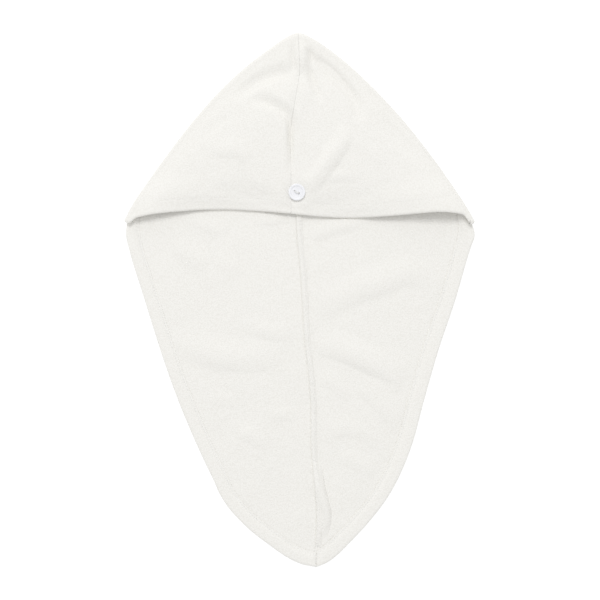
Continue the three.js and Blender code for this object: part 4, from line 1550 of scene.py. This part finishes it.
@dataclass(frozen=True)
class ThreadFinish:
    """White spun thread with a twist that catches the light, and painted shade in the twist's grooves."""

    name: str
    colour: tuple[float, float, float] = (0.86, 0.85, 0.82)
    twist: float = 0.0007
    roughness: float = 0.75
    sheen: float = 0.2

    def make(self) -> bpy.types.Material:
        """Builds the material."""
        board = NodeBoard(self.name)
        wave = board.add("ShaderNodeTexWave", Scale=1 / (self.twist * 6.28), Distortion=1.5, Detail=1.0)
        wave.bands_direction = "DIAGONAL"
        board.join(board.place, wave.inputs["Vector"])
        fibres = board.noise(1 / (self.twist * 0.6), 3.0, 0.6)
        normal = board.bump(fibres, 0.3, 0.00012)
        board.feed(board.bump(wave.outputs["Fac"], 0.5, 0.0002, normal), "Normal")
        # Painted shade: the thread's colour is darker in the grooves of the twist
        shaded = tuple(0.93 * c for c in self.colour)
        board.feed(board.blend(wave.outputs["Fac"], shaded, self.colour, 0.1, 0.7), "Base Color")
        board.settings({"Roughness": self.roughness, "Sheen Weight": self.sheen})
        return board.material


@dataclass(frozen=True)
class ButtonFinish:
    """Smooth white plastic, a little cool beside the cloth, with a moulded unevenness."""

    name: str = "button_plastic"
    colour: tuple[float, float, float] = (0.88, 0.885, 0.915)

    def make(self) -> bpy.types.Material:
        """Builds the material."""
        board = NodeBoard(self.name)
        cloud = board.noise(210.0, 2.0, 0.5)
        cooler = tuple(0.965 * c for c in self.colour)
        board.feed(board.blend(cloud, cooler, self.colour, 0.35, 0.7), "Base Color")
        board.feed(board.bump(board.noise(700.0, 1.0), 0.08, 0.00015), "Normal")
        rough = board.add("ShaderNodeMapRange")
        board.join(cloud, rough.inputs["Value"])
        rough.inputs["To Min"].default_value, rough.inputs["To Max"].default_value = 0.26, 0.38
        board.feed(rough.outputs["Result"], "Roughness")
        board.settings({"Subsurface Weight": 0.15, "Subsurface Radius": (0.002,) * 3, "Coat Weight": 0.15})
        return board.material


def dress(piece: bpy.types.Object, material: bpy.types.Material, slot: str, *nodes: str) -> None:
    """Gives a piece its material and its body, and hides the solids that it stands for.

    Args:
        piece: The piece.
        material: Its finish.
        slot: Not used.
        nodes: The solids that it replaces.
    """
    piece.data.materials.clear()
    piece.data.materials.append(material)
    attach(piece, "root")
    if nodes:
        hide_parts(*nodes)
    LOG.info("%s: %d faces", piece.name, len(piece.data.polygons))


# The towel and its studio


@dataclass
class Towel:
    """The whole towel: its halves, seam, stitches and button. The sheets' sizes are in metres."""

    sizes: TowelSizes = field(default_factory=TowelSizes)
    left_area: float = 0.130
    right_area: float = 0.125
    flat_cut: tuple[float, float] = (0.24, 0.66)
    right_edge_wall: float = 0.5
    right_groove: float = 0.0

    def __post_init__(self) -> None:
        """Lays the surfaces of both halves."""
        outline = Outline(self.sizes)
        noise = CoarseNoise(7)
        self.surfaces = {side: HalfSurface(side, outline, self.sizes, noise) for side in Side}
        self.halves = {side: TerryHalf(side, self.surfaces[side], self.sizes) for side in Side}
        self.halves[Side.RIGHT].edge_wall = self.right_edge_wall
        self.halves[Side.RIGHT].groove_depth = self.right_groove
        edge = outline.points
        box = (np.array(CAD_BOX[0]) + np.array(CAD_BOX[1])) / 2 / MM
        middle = (edge.max(axis=0) + edge.min(axis=0)) / 2
        self.shift = np.array([box[0] - middle[0], box[1] - middle[1], 0.0])

    def seam_ends(self) -> tuple[float, float]:
        """Where the turned hem clears the seam allowance, at the tip and at the nape."""
        need = self.sizes.seam_width / 2 + 2 * self.sizes.sewn_gap
        first, last = 0.0, 3.0
        for half in self.halves.values():
            v = half.rows()
            _, margin = half.hem_run(v)
            clear = margin * half.surface.row_length(v) > need
            first = max(first, float(v[clear.argmax()]))
            last = min(last, float(v[::-1][clear[::-1].argmax()]))
        return first, last

    def build(self) -> None:
        """Builds and dresses every piece."""
        noise = CoarseNoise(20)
        terry = TerryFinish().make()
        overlock = ThreadFinish("overlock_thread", (0.9, 0.89, 0.865)).make()
        thread = ThreadFinish("sewing_thread", (0.85, 0.85, 0.84)).make()
        stitches = {}
        for side, half in self.halves.items():
            stitches[side] = HemStitches(half).build(self.shift)
            dress(stitches[side], thread, "terry")
        for side, half in self.halves.items():
            piece = half.build(self.shift, noise)
            node = "left_panel" if side is Side.LEFT else "right_panel"
            dress(piece, terry, "terry", node)
        start, stop = self.seam_ends()
        seam = CentreSeam(self.surfaces[Side.LEFT], self.surfaces[Side.RIGHT], self.sizes, start, stop)
        dress(seam.build_allowance(self.shift), terry, "overlock", "centre_seam")
        dress(seam.build_overlock(self.shift), overlock, "overlock")
        button = SewnButton()
        dress(button.build_button(), ButtonFinish().make(), "button_plastic", "button")
        dress(button.build_thread(), thread, "sewing_thread", "button_thread")


@dataclass
class Studio:
    """A plain pale floor, soft light from beyond the apex and a camera straight above."""

    camera_height: float = 1.8
    view_width: float = 0.72
    aim_x: float = -0.00024
    key_power: float = 120.0
    key_size: float = 2.0
    key_place: tuple[float, float, float] = (-0.75, 3.2, 4.95)
    sky: float = 0.775
    floor_shade: float = 0.3
    floor_glow: float = 0.78

    def build(self) -> None:
        """Builds the floor, lights and camera."""
        self.build_floor()
        self.build_lights()
        self.build_camera()

    def build_floor(self) -> None:
        """Lays the floor just under the towel."""
        deselect()
        bpy.ops.mesh.primitive_plane_add(size=8.0, location=(0, 0, -0.0003))
        floor = bpy.context.object
        floor.name = "floor"
        board = NodeBoard("pale_floor")
        board.settings({
            "Base Color": (*(self.floor_shade,) * 3, 1), "Roughness": 0.9, "Specular IOR Level": 0.0,
            "Emission Color": (1, 1, 1, 1), "Emission Strength": self.floor_glow,
        })
        floor.data.materials.append(board.material)
        floor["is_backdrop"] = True

    def build_lights(self) -> None:
        """Sets the even light of the room and the large soft light beyond the apex."""
        scene = bpy.context.scene
        world = bpy.data.worlds.new("studio_room")
        scene.world = world
        world.use_nodes = True
        background = world.node_tree.nodes["Background"].inputs
        background["Color"].default_value = (1, 1, 1, 1)
        background["Strength"].default_value = self.sky
        scene.view_settings.view_transform = "Standard"
        scene.view_settings.look = "None"
        data = bpy.data.lights.new("key_panel", "AREA")
        data.shape, data.size, data.energy = "SQUARE", self.key_size, self.key_power
        key = bpy.data.objects.new("key_panel", data)
        key.location = self.key_place
        key.rotation_euler = (-Vector(self.key_place)).to_track_quat("-Z", "Y").to_euler()
        scene.collection.objects.link(key)

    def build_camera(self) -> None:
        """Hangs the camera straight above the towel."""
        data = bpy.data.cameras.new("camera")
        data.sensor_width = 36.0
        data.lens = data.sensor_width * self.camera_height / self.view_width
        camera = bpy.data.objects.new("camera", data)
        camera.location = (self.aim_x, 0.0, self.camera_height)
        bpy.context.scene.collection.objects.link(camera)
        bpy.context.scene.camera = camera


def main() -> None:
    """Builds the towel and its studio."""
    logging.basicConfig(level=logging.INFO, format="%(message)s")
    Towel().build()
    Studio().build()
    sizes = {"cad": CAD_BOX, "visual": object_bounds()}
    {name: [list(map(float, corner)) for corner in box] for name, box in sizes.items()}


if __name__ == "__main__":
    main()
